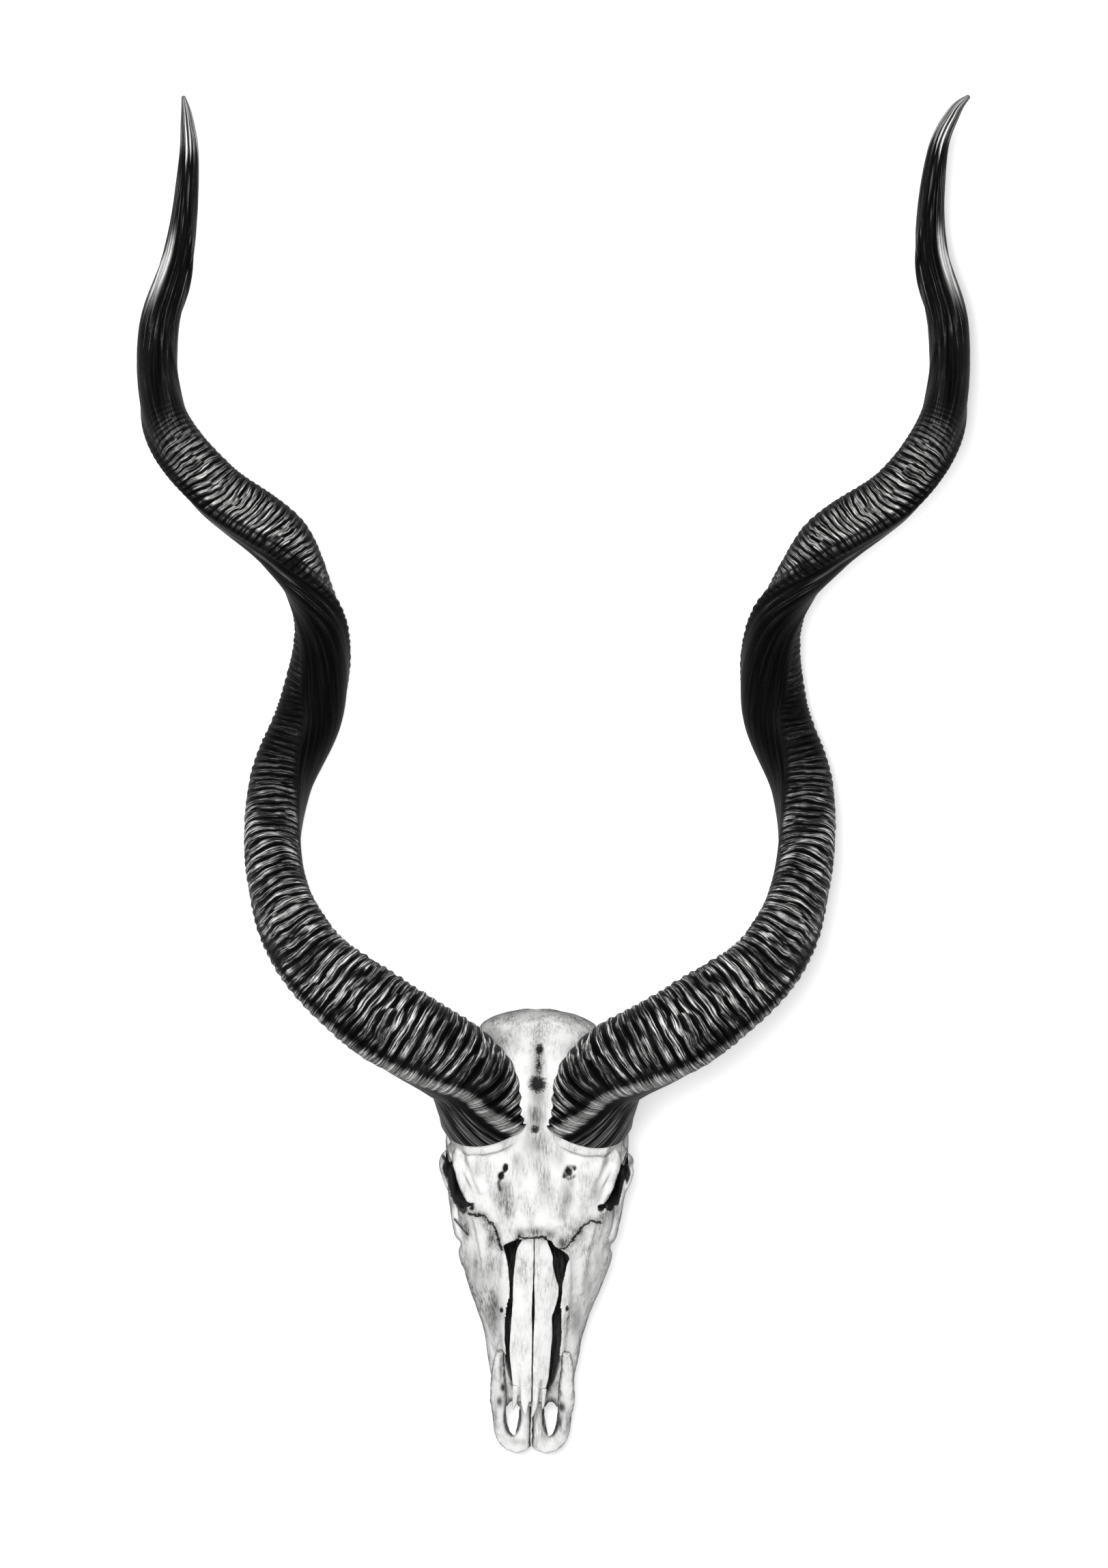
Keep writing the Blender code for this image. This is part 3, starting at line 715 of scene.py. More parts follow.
def add_ball(bm, centre, radii, turn=None, segments=48):
    rotation = turn.to_4x4() if turn else Matrix.Identity(4)
    place = Matrix.Translation(centre) @ rotation @ Matrix.Diagonal((*radii, 1))
    bmesh.ops.create_uvsphere(bm, u_segments=segments, v_segments=segments // 2, radius=1, matrix=place)


def add_limb(bm, keys, flat_axis=(0, 0, 1), segments=24):
    """A rounded bar through rows of x, y, z, half width and half height. Height goes along flat_axis."""
    rows = smooth_keys(keys, 6 * len(keys))
    loops = []
    for row, tangent in zip(rows, np.gradient(rows[:, :3], axis=0)):
        tangent = Vector(tangent).normalized()
        side = tangent.cross(Vector(flat_axis)).normalized()
        up = side.cross(tangent)
        ring = []
        for angle in np.linspace(0, math.tau, segments, endpoint=False):
            ring.append(Vector(row[:3]) + side * row[3] * math.cos(angle) + up * row[4] * math.sin(angle))
        loops.append(ring)
    add_loft(bm, loops)


def turn_to(normal):
    return Vector((0, 0, 1)).rotation_difference(Vector(normal)).to_matrix()


def skull_object(name, bm, in_world=False):
    """A piece drawn in the skull's frame, moved to its place."""
    bmesh.ops.remove_doubles(bm, verts=bm.verts, dist=1e-7 if in_world else 1e-4)
    bmesh.ops.recalc_face_normals(bm, faces=bm.faces)
    if not in_world:
        for vertex in bm.verts:
            vertex.co.x *= RIGHT_SIDE_WIDTH if vertex.co.x > 0 else LEFT_SIDE_WIDTH
        bm.transform(SKULL_TO_WORLD)
    mesh = bpy.data.meshes.new(name)
    bm.to_mesh(mesh)
    bm.free()
    obj = bpy.data.objects.new(name, mesh)
    scene.collection.objects.link(obj)
    return obj


def modifier(obj, kind, **settings):
    made = obj.modifiers.new(kind.lower(), kind)
    for key, value in settings.items():
        setattr(made, key, value)
    return made


def settle(obj):
    """Applies an object's modifiers."""
    mesh = shown_mesh(obj)
    obj.modifiers.clear()
    obj.data = mesh
    return obj


def join_shapes(name, parts):
    bm = bmesh.new()
    for part in parts:
        bm.from_mesh(part.data)
        bpy.data.objects.remove(part)
    return skull_object(name, bm, in_world=True)


def grow_together(obj, grain, smoothing=6):
    """Joins overlapping shapes in one skin with soft joins."""
    modifier(obj, "REMESH", mode="VOXEL", voxel_size=grain / 1000, adaptivity=0)
    modifier(obj, "SMOOTH", factor=0.5, iterations=smoothing)
    return settle(obj)


def cut_away(obj, cutters):
    for cutter in cutters:
        modifier(obj, "BOOLEAN", operation="DIFFERENCE", object=cutter, solver="MANIFOLD")
    settle(obj)
    for cutter in cutters:
        bpy.data.objects.remove(cutter)


def mend(obj):
    """Closes the few open spots that a decimation leaves, because a cut is skipped on a mesh that isn't closed."""
    bm = bmesh.new()
    bm.from_mesh(obj.data)
    for _ in range(8):
        spots = {vertex for edge in bm.edges if not edge.is_manifold for vertex in edge.verts}
        bmesh.ops.delete(bm, geom=list(spots), context="VERTS")
        rims = [edge for edge in bm.edges if edge.is_boundary]
        filled = bmesh.ops.holes_fill(bm, edges=rims, sides=0)["faces"]
        for face in filled:
            if not all(edge.is_contiguous for edge in face.edges):
                face.normal_flip()
        bmesh.ops.triangulate(bm, faces=filled)
    bm.to_mesh(obj.data)
    bm.free()


def grown_copy(piece):
    """A copy of a piece that stands a fit gap outside it, to cut its seat."""
    bm = bmesh.new()
    bm.from_mesh(piece.data)
    # Without its painted values, which a cut would carry into the bone
    for layers in (bm.verts.layers.float, bm.loops.layers.uv):
        while layers.values():
            layers.remove(layers.values()[0])
    bmesh.ops.remove_doubles(bm, verts=bm.verts, dist=1e-6)
    bm.normal_update()
    moved = [v.co + v.normal * FIT_GAP / 1000 for v in bm.verts]
    for vertex, place in zip(bm.verts, moved):
        vertex.co = place
    return skull_object("seat", bm, in_world=True)


def body_ring(row):
    y, top, roof_x, roof_z, wide_x, wide_z, low_x, low_z, bottom = row
    half = [(0, top), (roof_x, roof_z), (wide_x, wide_z), (low_x, low_z), (0, bottom)]
    closed = half + [(-x, z) for x, z in half[-2:0:-1]]
    count = len(closed)
    wrapped = closed[-2:] + closed + closed[:3]
    rows = smooth_keys(wrapped, (len(wrapped) - 1) * 8 + 1)[16 : 16 + count * 8]
    return [(x, y, z) for x, z in rows]


def limb_cutter(keys):
    bm = bmesh.new()
    add_limb(bm, keys)
    return skull_object("limb_cutter", bm)


def palate_cutter(side):
    bm = bmesh.new()
    add_ball(bm, mirrored(PALATE_SLOT[0], side), PALATE_SLOT[1])
    return skull_object("palate_cutter", bm)


def orbit_cutter(side):
    facing = Vector(mirrored(ORBIT_FACING, side)).normalized()
    centre = Vector(mirrored(ORBIT_CENTRE, side)) - facing * ORBIT_SUNK
    bm = bmesh.new()
    add_ball(bm, centre, (ORBIT_RADIUS, ORBIT_RADIUS, ORBIT_DEPTH), turn_to(facing))
    return skull_object("orbit_cutter", bm)


def slot_cutter():
    edges = smooth_keys(ROOF_SLOT, 5 * len(ROOF_SLOT))
    outline = [(right, y) for y, _, right in edges] + [(-left, y) for y, left, _ in edges[::-1]]
    bm = bmesh.new()
    add_loft(bm, [[(x, y, z) for x, y in outline] for z in (56, 140)])
    return skull_object("slot_cutter", bm)


def add_orbit_rim(bm, side):
    turn = turn_to(Vector(mirrored(ORBIT_FACING, side)).normalized())
    centre = Vector(mirrored(ORBIT_CENTRE, side))
    rings = []
    for around in np.linspace(0, math.tau, 61):
        ring = []
        for tube in np.linspace(0, math.tau, 16, endpoint=False):
            reach = ORBIT_RADIUS + ORBIT_RIM * math.cos(tube)
            offset = Vector((math.cos(around) * reach, math.sin(around) * reach, ORBIT_RIM * math.sin(tube)))
            ring.append(centre + turn @ offset)
        rings.append(ring)
    add_loft(bm, rings)


def horn_section(row, tangent, inwards, grow):
    """A cross-section of a horn without its ridges, as the sweep above makes it."""
    front = (Vector((0, 0, 1)) - tangent * tangent.z).normalized()
    inner = tangent.cross(front) * inwards
    ring = []
    for turn in np.arange(0, 360, 6):
        from_long = math.radians(turn - HORN_SIZES["Long Axis From Keel"])
        oval = row[3] * row[4] / math.hypot(row[4] * math.cos(from_long), row[3] * math.sin(from_long))
        from_keel = min(turn, 360 - turn) / HORN_SIZES["Keel Spread"]
        keel = HORN_SIZES["Keel Rise"] * row[3] * math.exp(-(from_keel**2)) * (1 - HORN_SIZES["Base Keel Loss"])
        facing = math.radians(row[5] + turn)
        lean = max(0.0, math.cos(facing - math.radians(HORN_SIZES["Base Bulge Turn"])))
        reach = oval + keel + HORN_SIZES["Base Bulge"] * lean**2 + grow
        ring.append(Vector(row[:3]) + (inner * math.cos(facing) + front * math.sin(facing)) * reach)
    return ring


def build_stump(stations, inwards):
    first, second = np.array(stations[0], float), np.array(stations[1], float)
    onwards = Vector(second[:3] - first[:3]).normalized()
    rings = []
    for depth, growth in zip(STUMP_DEPTHS, STUMP_GROWTH):
        row = first.copy()
        row[:3] -= np.array(onwards) * depth
        rings.append(horn_section(row, onwards, inwards, growth))
    bm = bmesh.new()
    add_loft(bm, rings)
    bm.transform(Matrix.Scale(0.001, 4))
    return skull_object("stump", bm, in_world=True)


def build_face():
    bm = bmesh.new()
    add_loft(bm, [body_ring(row) for row in smooth_keys(BODY, 7 * len(BODY))])
    face = skull_object("face", bm)
    cut_away(face, [limb_cutter(NOSE_HOLLOW), slot_cutter(), limb_cutter(THROAT_WAY)])
    cut_away(face, [make(side) for make in (orbit_cutter, palate_cutter) for side in (-1, 1)])
    return face


def build_outworks():
    bm = bmesh.new()
    for side in (-1, 1):
        add_orbit_rim(bm, side)
        add_limb(bm, [mirrored(row, side) for row in CHEEK_ARCH])
        add_limb(bm, [mirrored(row, side) for row in EYE_BAR], flat_axis=(1, 0, 0))
        add_limb(bm, [mirrored(row, side) for row in BROW_EDGE])
        add_ball(bm, mirrored(CONDYLE[0], side), CONDYLE[1])
        add_ball(bm, mirrored(EAR_BULLA[0], side), EAR_BULLA[1])
        add_limb(bm, [mirrored(row, side) for row in JUGULAR_PROCESS], flat_axis=(0, 1, 0))
    return skull_object("outworks", bm)


stumps = [build_stump(HORN_LEFT, 1), build_stump(HORN_RIGHT, -1)]
cranium = join_shapes("cranium_bone", [build_face(), build_outworks(), *stumps])
grow_together(cranium, CRANIUM_GRAIN)
cut_away(cranium, [limb_cutter([mirrored(row, side) for row in EYE_CRESCENT]) for side in (-1, 1)])

# Relief on the face of the skull. Lines are x, y points seen from above.
SEAMS = [
    [(-17.3, -8.8), (-13.1, 2), (-8.9, 0), (-1.3, 0.6), (9.3, 1.9), (11.6, -3), (13.8, -8.4)],
    [(-55.8, 19.5), (-47.8, 19.1), (-42.4, 18.7), (-40.2, 14.4), (-33.7, 10.2), (-32, 2.8), (-29.7, -5.8), (-27, -9)],
    [(55.3, 13.8), (47.7, 15.9), (42.4, 12.5), (38.2, 8.1), (35, 2.8), (30.8, -2.7), (27.7, -7), (20.2, -9.3)],
]
SEAM_WIDTH = 0.9
SEAM_DEPTH = 0.7
# Soft channels: half width, depth, darkness of the dirt and painted shade in them, points. A negative depth is a
# raised line.
CHANNELS = [
    (1.3, 1.2, 0.7, [(-25.4, 60.2), (-29.1, 53.2), (-31, 47), (-29.5, 41)]),
    (4.0, 1.6, 0.22, [(-29, 44), (-26, 34), (-22, 20)]),
    (4.0, 1.6, 0.22, [(30, 48), (29, 34), (24, 20)]),
    (1.5, 1.0, 0.5, [(33, 62), (27, 62), (24.5, 56), (28, 51), (33, 54)]),
    (1.1, 1.2, 0.85, [(-68, 14), (-62, 7.5), (-57, 1.7)]),
    (1.3, 0.8, 0.5, [(56.2, 26.7), (60, 31), (63, 37)]),
    (3.5, 1.6, 0.15, [(-30, -14), (-33, -40), (-32, -70), (-29, -100), (-28, -124)]),
    (3.5, 1.6, 0.10, [(34, -14), (35, -40), (33, -70), (30, -100), (29, -124)]),
    (2.5, -1.2, 0.0, [(-58, 30), (-52, 21), (-48, 6), (-44, -16), (-40, -44)]),
    (2.5, -1.2, 0.0, [(58, 28), (52, 19), (48, 4), (44, -18), (40, -46)]),
    (3.0, -1.6, 0.0, [(-45, 40), (-50, 52), (-55, 66), (-60, 80)]),
    (3.0, -1.6, 0.0, [(45, 40), (50, 52), (55, 66), (60, 80)]),
]
# Pits: x, y, half width, half length, depth, darkness of the painted shade in them
PITS = [
    (-25.4, 60.2, 2.0, 3.2, 3.0, 1.0),
    (-29.1, 53.2, 2.2, 2.8, 3.0, 1.0),
    (28.3, 57.4, 2.8, 3.4, 3.0, 0.9),
    (33.0, 60.5, 1.4, 1.8, 1.5, 0.7),
    (24.5, 53.5, 1.4, 2.0, 1.2, 0.6),
    (56.2, 26.7, 2.4, 2.8, 2.5, 0.9),
    (-53.5, 25.0, 1.8, 2.2, 2.0, 0.7),
    (0.5, 131.7, 6.5, 6.0, 2.6, 0.85),
    (1.8, 160.7, 3.0, 4.2, 1.8, 0.8),
    (1.2, 147.0, 2.8, 8.0, 1.0, 0.45),
    (-1.0, 93.3, 3.2, 3.2, 1.4, 0.6),
    (-27.0, -62.0, 1.3, 2.2, 1.5, 0.8),
    (29.0, -60.0, 1.3, 2.2, 1.5, 0.8),
]
# The painted shade of each eye socket, seen from above: x, y, half width
EYE_SHADES = [
    [(-78.5, 68, 1.6), (-73.5, 60.3, 2.0), (-71.9, 48.9, 3.8), (-70.9, 43.4, 4.2), (-69, 37.7, 4.6)]
    + [(-65, 32.2, 4.8), (-62.3, 26.5, 5.0), (-60.5, 22.5, 3.0)],
    [(-60, 26.6, 1.6), (-56, 27.3, 1.2), (-52, 29, 0.7)],
    [(77.2, 64.2, 1.0), (76.5, 56.4, 1.5), (73.3, 48.5, 2.4), (71.1, 40.7, 3.2), (67.7, 32.8, 3.0)]
    + [(63.9, 27.1, 1.9)],
]
# Soft grey patches, partly uneven tone of the bone and partly painted shade, as beside the eye sockets:
# x, y, half width, half length, darkness
SHADE_PATCHES = [
    (0, 140, 6, 32, 0.4),
    (-2, 96, 7, 13, 0.35),
    (2, 74, 10, 16, 0.15),
    (-31, -64, 7, 13, 0.4),
    (-46, -48, 8, 30, 0.25),
    (-38, 174, 10, 8, 0.3),
    (44, 171, 12, 8, 0.3),
    (-27, 38, 5, 14, 0.3),
    (27, 36, 5, 14, 0.35),
    (8, 44, 6, 14, 0.2),
    (0, 6, 9, 4, 0.4),
    (-12, 4, 5, 5, 0.5),
    (13, 4, 6, 5, 0.45),
    (24, -4, 6, 6, 0.6),
    (38, 6, 5, 5, 0.45),
    (-36, 0, 4, 8, 0.4),
    (-58, 6, 4, 11, 0.4),
    (-55, -26, 4, 18, 0.3),
    (54, -20, 4, 16, 0.25),
    (-28, -118, 4, 14, 0.4),
    (28, -128, 5, 12, 0.35),
    (-50, 60, 6, 10, 0.15),
    (52, 40, 5, 10, 0.2),
    (-34, -66, 8, 20, 0.5),
    (-50, -34, 4, 26, 0.35),
    (-38, -30, 6, 16, 0.25),
    (37, -70, 6, 16, 0.42),
    (46, -40, 5, 22, 0.28),
    (0, 104, 7, 16, 0.45),
    (1, 124, 7, 20, 0.42),
    (-1, 82, 12, 14, 0.3),
    (-28, 168, 14, 9, 0.25),
    (36, 160, 16, 10, 0.28),
    (-72, 27.5, 4, 8, 0.45),
    (-77, 52, 3, 9, 0.3),
    (69, 24, 4, 7, 0.35),
    (-14, 66, 7, 10, 0.2),
    (20, 70, 6, 9, 0.2),
]
# Notches in the outline of the cheeks: x, y, radius, depth
SIDE_NOTCHES = [(-66.5, -7, 4.5, 3.0), (65.5, -7, 4.5, 3.0), (83, 62, 4, 1.5), (-62, -30, 6, 1.0)]
BONE_SWELL = 0.5
BONE_SWELL_SIZE = 14.0


def skull_places(mesh):
    """Every vertex of a mesh in the skull's frame, in millimetres."""
    places = np.empty(len(mesh.vertices) * 3)
    mesh.vertices.foreach_get("co", places)
    back = np.array(SKULL_TO_WORLD.inverted())
    return places.reshape(-1, 3) @ back[:3, :3].T + back[:3, 3]


def vertex_normals(mesh):
    normals = np.empty(len(mesh.vertices) * 3)
    mesh.vertices.foreach_get("normal", normals)
    return normals.reshape(-1, 3)


def line_distance(places, line):
    """Distance to a line seen from above, and +1 or -1 for its two sides (+1 past its ends)."""
    nearest = np.full(len(places), 1e9)
    sides = np.ones(len(places))
    line = np.array(line, float)
    for start, end in zip(line, line[1:]):
        along = end - start
        offset = places[:, :2] - start
        share = np.clip(offset @ along / (along @ along), 0, 1)
        gap = np.linalg.norm(offset - share[:, None] * along, axis=1)
        closer = gap < nearest
        nearest[closer] = gap[closer]
        sides[closer] = np.sign(along[0] * offset[closer, 1] - along[1] * offset[closer, 0])
    return nearest, sides


def hollow(distance, half_width):
    return np.exp(-((distance / half_width) ** 2))


def carve(obj, relief):
    """Moves each vertex outwards by a number of millimetres."""
    mesh = obj.data
    normals = vertex_normals(mesh)
    places = np.empty(len(mesh.vertices) * 3)
    mesh.vertices.foreach_get("co", places)
    places = places.reshape(-1, 3) + normals * relief[:, None] / 1000
    mesh.vertices.foreach_set("co", places.ravel())
    mesh.update()


def facing_up(mesh):
    return np.clip((vertex_normals(mesh)[:, 2] - 0.05) / 0.3, 0, 1)


def steep_shade(mesh):
    """Painted shade on walls that turn away from the lamp above, darker the steeper they are."""
    return np.clip(0.72 - vertex_normals(mesh)[:, 2], 0, 0.72) * 0.95


def swell(places, size, seed):
    """Slow natural unevenness, about -1 to 1."""
    return np.array([noise_lib.fractal((Vector(p) / size) + seed, 0.9, 2.0, 3) for p in places])


def face_relief(mesh):
    """Height of the relief on a mesh in the skull's place."""
    places = skull_places(mesh)
    height = np.zeros(len(places))
    for half_width, depth, _, line in CHANNELS:
        height -= hollow(line_distance(places, smooth_keys(line, 4 * len(line)))[0], half_width) * depth
    for x, y, half_x, half_y, depth, _ in PITS:
        from_pit = np.hypot((places[:, 0] - x) / half_x, (places[:, 1] - y) / half_y)
        height -= np.exp(-(from_pit**3)) * depth
        height += np.exp(-((from_pit - 1.6) ** 2) / 0.15) * depth * 0.15
    for line in SEAMS:
        height -= hollow(line_distance(places, line)[0], SEAM_WIDTH) * SEAM_DEPTH
    height = height * facing_up(mesh)
    for x, y, radius, depth in SIDE_NOTCHES:
        height -= hollow(np.hypot(places[:, 0] - x, places[:, 1] - y), radius) * depth
    return height


def inside_hollows(places, normals):
    """1 on the walls of the eye sockets and of the nose, 0 outside them, with a soft edge."""
    within = np.zeros(len(places))
    for side in (-1, 1):
        facing = Vector(mirrored(ORBIT_FACING, side)).normalized()
        centre = np.array(mirrored(ORBIT_CENTRE, side)) - np.array(facing) * ORBIT_SUNK
        turned = (places - centre) @ np.array(turn_to(facing))
        reach = np.linalg.norm(turned / (ORBIT_RADIUS, ORBIT_RADIUS, ORBIT_DEPTH), axis=1)
        under_brow = np.clip((BROW_UNDERSIDE - places[:, 2]) / 6, 0, 1)
        inwards = centre - places
        inwards /= np.linalg.norm(inwards, axis=1)[:, None]
        facing_in = np.clip(np.sum(normals * inwards, axis=1) * 3, 0, 1)
        within = np.maximum(within, np.clip((1.12 - reach) / 0.08, 0, 1) * under_brow * facing_in)
    keys = smooth_keys(NOSE_HOLLOW, 40)
    _, high, half_width, half_height = (np.interp(places[:, 1], keys[:, 1], keys[:, i]) for i in (0, 2, 3, 4))
    reach = np.hypot(places[:, 0] / half_width, (places[:, 2] - high) / half_height)
    in_nose = np.clip((1.12 - reach) / 0.1, 0, 1) * (places[:, 1] > -141) * (places[:, 1] < 14) * 0.85
    outer_face = np.clip(normals[:, 2] * 3 - 1, 0, 1) * (places[:, 2] > high)
    return np.maximum(within, in_nose * (1 - outer_face))


def slot_edge(places):
    """1 along the edge of each slot of the palate, seen from above."""
    centre, radii = PALATE_SLOT
    from_slot = np.hypot((np.abs(places[:, 0]) - centre[0]) / radii[0], (places[:, 1] - centre[1]) / radii[1])
    return hollow(from_slot - 1.05, 0.22)


def paint(mesh, name, values):
    attribute = mesh.attributes.new(name, "FLOAT", "POINT")
    attribute.data.foreach_set("value", values.astype(np.float32))


def paint_face(mesh, seams=SEAMS):
    """Stores the dirt and painted shade, the painted shade of the pits and eye sockets, and which side of the nearest
    seam each point is on, for the bone's material.
    """
    places = skull_places(mesh)
    up = facing_up(mesh)
    nearest = np.full(len(places), 1e9)
    sides = np.ones(len(places))
    for line in seams:
        gap, side = line_distance(places, line)
        closer = gap < nearest
        nearest[closer] = gap[closer]
        sides[closer] = side[closer]
    paint(mesh, "seam_side", np.clip(nearest * sides, -3, 3))
    paint(mesh, "seam_near", np.clip((3 - nearest) / 1.5, 0, 1) * (up > 0.5))
    dirt_and_painted_shade = hollow(nearest, 4.0) * 0.3
    # Dirt and painted shade in the channels, then grey patches that are partly painted shade
    for half_width, _, dark, line in CHANNELS:
        dirt_and_painted_shade = np.maximum(dirt_and_painted_shade, hollow(line_distance(places, line)[0], half_width) * dark)
    for x, y, half_x, half_y, dark in SHADE_PATCHES:
        from_patch = np.hypot((places[:, 0] - x) / half_x, (places[:, 1] - y) / half_y)
        dirt_and_painted_shade = np.maximum(dirt_and_painted_shade, hollow(from_patch, 1.0) * dark)
    # Painted shade in the pits and, seen from above, over each eye socket
    pit_and_socket_shade = np.full(len(places), -1.0)
    for x, y, half_x, half_y, _, dark in PITS:
        from_pit = np.hypot((places[:, 0] - x) / half_x, (places[:, 1] - y) / half_y)
        pit_and_socket_shade = np.maximum(pit_and_socket_shade, (1.5 - from_pit) * dark)
    for line in EYE_SHADES:
        rows = smooth_keys(line, 8 * len(line))
        for x, y, half_width in rows:
            from_row = np.hypot(places[:, 0] - x, places[:, 1] - y) / half_width
            pit_and_socket_shade = np.maximum(pit_and_socket_shade, (1.12 - from_row) * 1.5)
    # Painted shade on steep walls, and painted shade along the rims of the palate's slots
    dirt_and_painted_shade = np.maximum(dirt_and_painted_shade * up, steep_shade(mesh))
    painted_slot_rim_shade = slot_edge(places) * 0.6 * up
    dirt_and_painted_shade = np.maximum(dirt_and_painted_shade, painted_slot_rim_shade)
    # Painted shade, nearly black, on the walls inside the eye sockets and the nose
    paint(mesh, "dirt_and_painted_shade", np.maximum(dirt_and_painted_shade, inside_hollows(places, vertex_normals(mesh)) * 0.95))
    paint(mesh, "pit_and_socket_shade", np.where(places[:, 2] > 40, pit_and_socket_shade, -1.0))


def bone_material(name, mottle, seed):
    made, tree, shader = shader_tree(name)
    x, y, z = object_place(tree)
    # Dirt and painted shade, and below the painted shade of the pits and eye sockets, darken the bone
    dirt_and_painted_shade = read_attribute(tree, "dirt_and_painted_shade")
    clouds = noise(tree, packed(tree, x / 16.0 + seed, y / 34.0, z / 16.0), detail=4.0, roughness=0.6)
    strokes = noise(tree, packed(tree, x / 1.3, y / 12.0, z / 3.0), detail=4.0, roughness=0.75)
    pores = noise(tree, packed(tree, x / 0.9, y / 0.9, z / 0.9), detail=2.0)
    wander = noise(tree, packed(tree, x / 1.8, y / 1.8, z / 1.8), detail=2.0) - 0.5
    bends = noise(tree, packed(tree, x / 4.5, y / 4.5, z / 4.5), detail=1.0) - 0.5
    seam = 1.0 - ((read_attribute(tree, "seam_side") + wander * 3.0 + bends * 4.5).math("ABSOLUTE") / 1.15)
    seam = seam.clamped() * read_attribute(tree, "seam_near")
    pit_and_socket_shade = (read_attribute(tree, "pit_and_socket_shade") + wander * 1.1).between(0.0, 1.0) * (strokes * 0.7 + 0.6)
    grime = (clouds - 0.42).clamped() * strokes.between(0.3, 0.75) * mottle
    dark = grime + dirt_and_painted_shade * (0.55 + strokes * 0.9) + seam + pit_and_socket_shade + (pores - 0.62).clamped() * 0.4
    tree.links.new(shades(tree, dark.clamped(), BONE_SHADES).socket, shader.inputs["Base Color"])
    shader.inputs["Roughness"].default_value = BONE_ROUGHNESS
    shader.inputs["Specular IOR Level"].default_value = 0.25
    bump(tree, shader, strokes * 0.5 + pores * 0.3 - seam, 0.35)
    return made


BONE_SHADES = [(0.0, 0.8), (0.25, 0.48), (0.6, 0.12), (1.0, 0.006)]
BONE_ROUGHNESS = 0.72
skull_bone = bone_material("skull bone", 1.9, 0.0)

relief = face_relief(cranium.data)
uneven = swell(skull_places(cranium.data), BONE_SWELL_SIZE, Vector((3, 7, 1))) * BONE_SWELL
carve(cranium, relief + uneven)

hidden = cranium.vertex_groups.new(name="hidden")
face_weight = facing_up(cranium.data) * (skull_places(cranium.data)[:, 2] > 45)
for index in np.nonzero(face_weight < 0.3)[0].tolist():
    hidden.add([index], 1.0, "REPLACE")
share_kept = CRANIUM_TRIANGLES / (2 * len(cranium.data.polygons))
modifier(cranium, "DECIMATE", ratio=share_kept, vertex_group="hidden", vertex_group_factor=4.0)
settle(cranium)
mend(cranium)

# Nasal bones
#
# Two thin arched plates side by side over the nose. They are joined to the brow at one zigzag seam, stand free along
# both sides, and each ends in two points. Rows are y, left edge, right edge, crest, drop at the outer edge and half
# width of the slit between the two.
NASALS = [
    (-140, 14.5, 9.5, 67.5, 3, 0.4),
    (-132, 16.0, 11.0, 69.5, 3.5, 0.4),
    (-120, 17.5, 13.5, 73, 4, 0.4),
    (-106, 19.0, 15.0, 77, 4.5, 0.4),
    (-95, 20.0, 15.3, 80.5, 5, 0.4),
    (-82, 19.6, 16.4, 84.5, 5, 0.6),
    (-68, 18.6, 15.8, 88.5, 5, 1.0),
    (-61, 18.2, 17.6, 90.5, 5, 1.1),
    (-50, 17.8, 20.8, 93.5, 5, 0.8),
    (-41, 17.8, 21.0, 96, 5, 0.5),
    (-34, 17.6, 18.8, 98.5, 5, 0.35),
    (-24, 16.8, 16.2, 101.3, 5, 0.3),
    (-16, 16.0, 15.8, 104, 4.5, 0.3),
    (-8, 14.4, 13.4, 106, 4, 0.3),
    (0, 10.0, 10.0, 108, 4, 0.3),
]
NASAL_THICKNESS = 4.0
# The points of each: x, y, z, half width, half thickness
NASAL_POINTS = {
    "left": [
        [(-6.4, -126, 70.2, 4.6, 2.0), (-6.0, -140, 67.6, 3.7, 1.9), (-5.3, -151, 66, 0.8, 1.0)],
        [(-13.6, -126, 69.4, 3.4, 2.0), (-14.4, -138, 67.0, 2.5, 1.8), (-16, -147, 65, 0.6, 0.9)],
    ],
    "right": [
        [(4.4, -128, 69.8, 3.8, 2.0), (2.8, -142, 67.2, 2.6, 1.9), (0.6, -153, 66, 0.7, 1.0)],
        [(10.0, -128, 69.2, 2.6, 2.0), (9.6, -138, 67.2, 1.9, 1.8), (9.4, -146, 65.5, 0.6, 0.9)],
    ],
}
NASAL_FORKS = {
    "left": [(-11.4, -109), (-10.6, -125), (-11.2, -146)],
    "right": [(8.0, -122), (6.8, -132), (6.4, -148)],
}
NASAL_GRAIN = 0.6


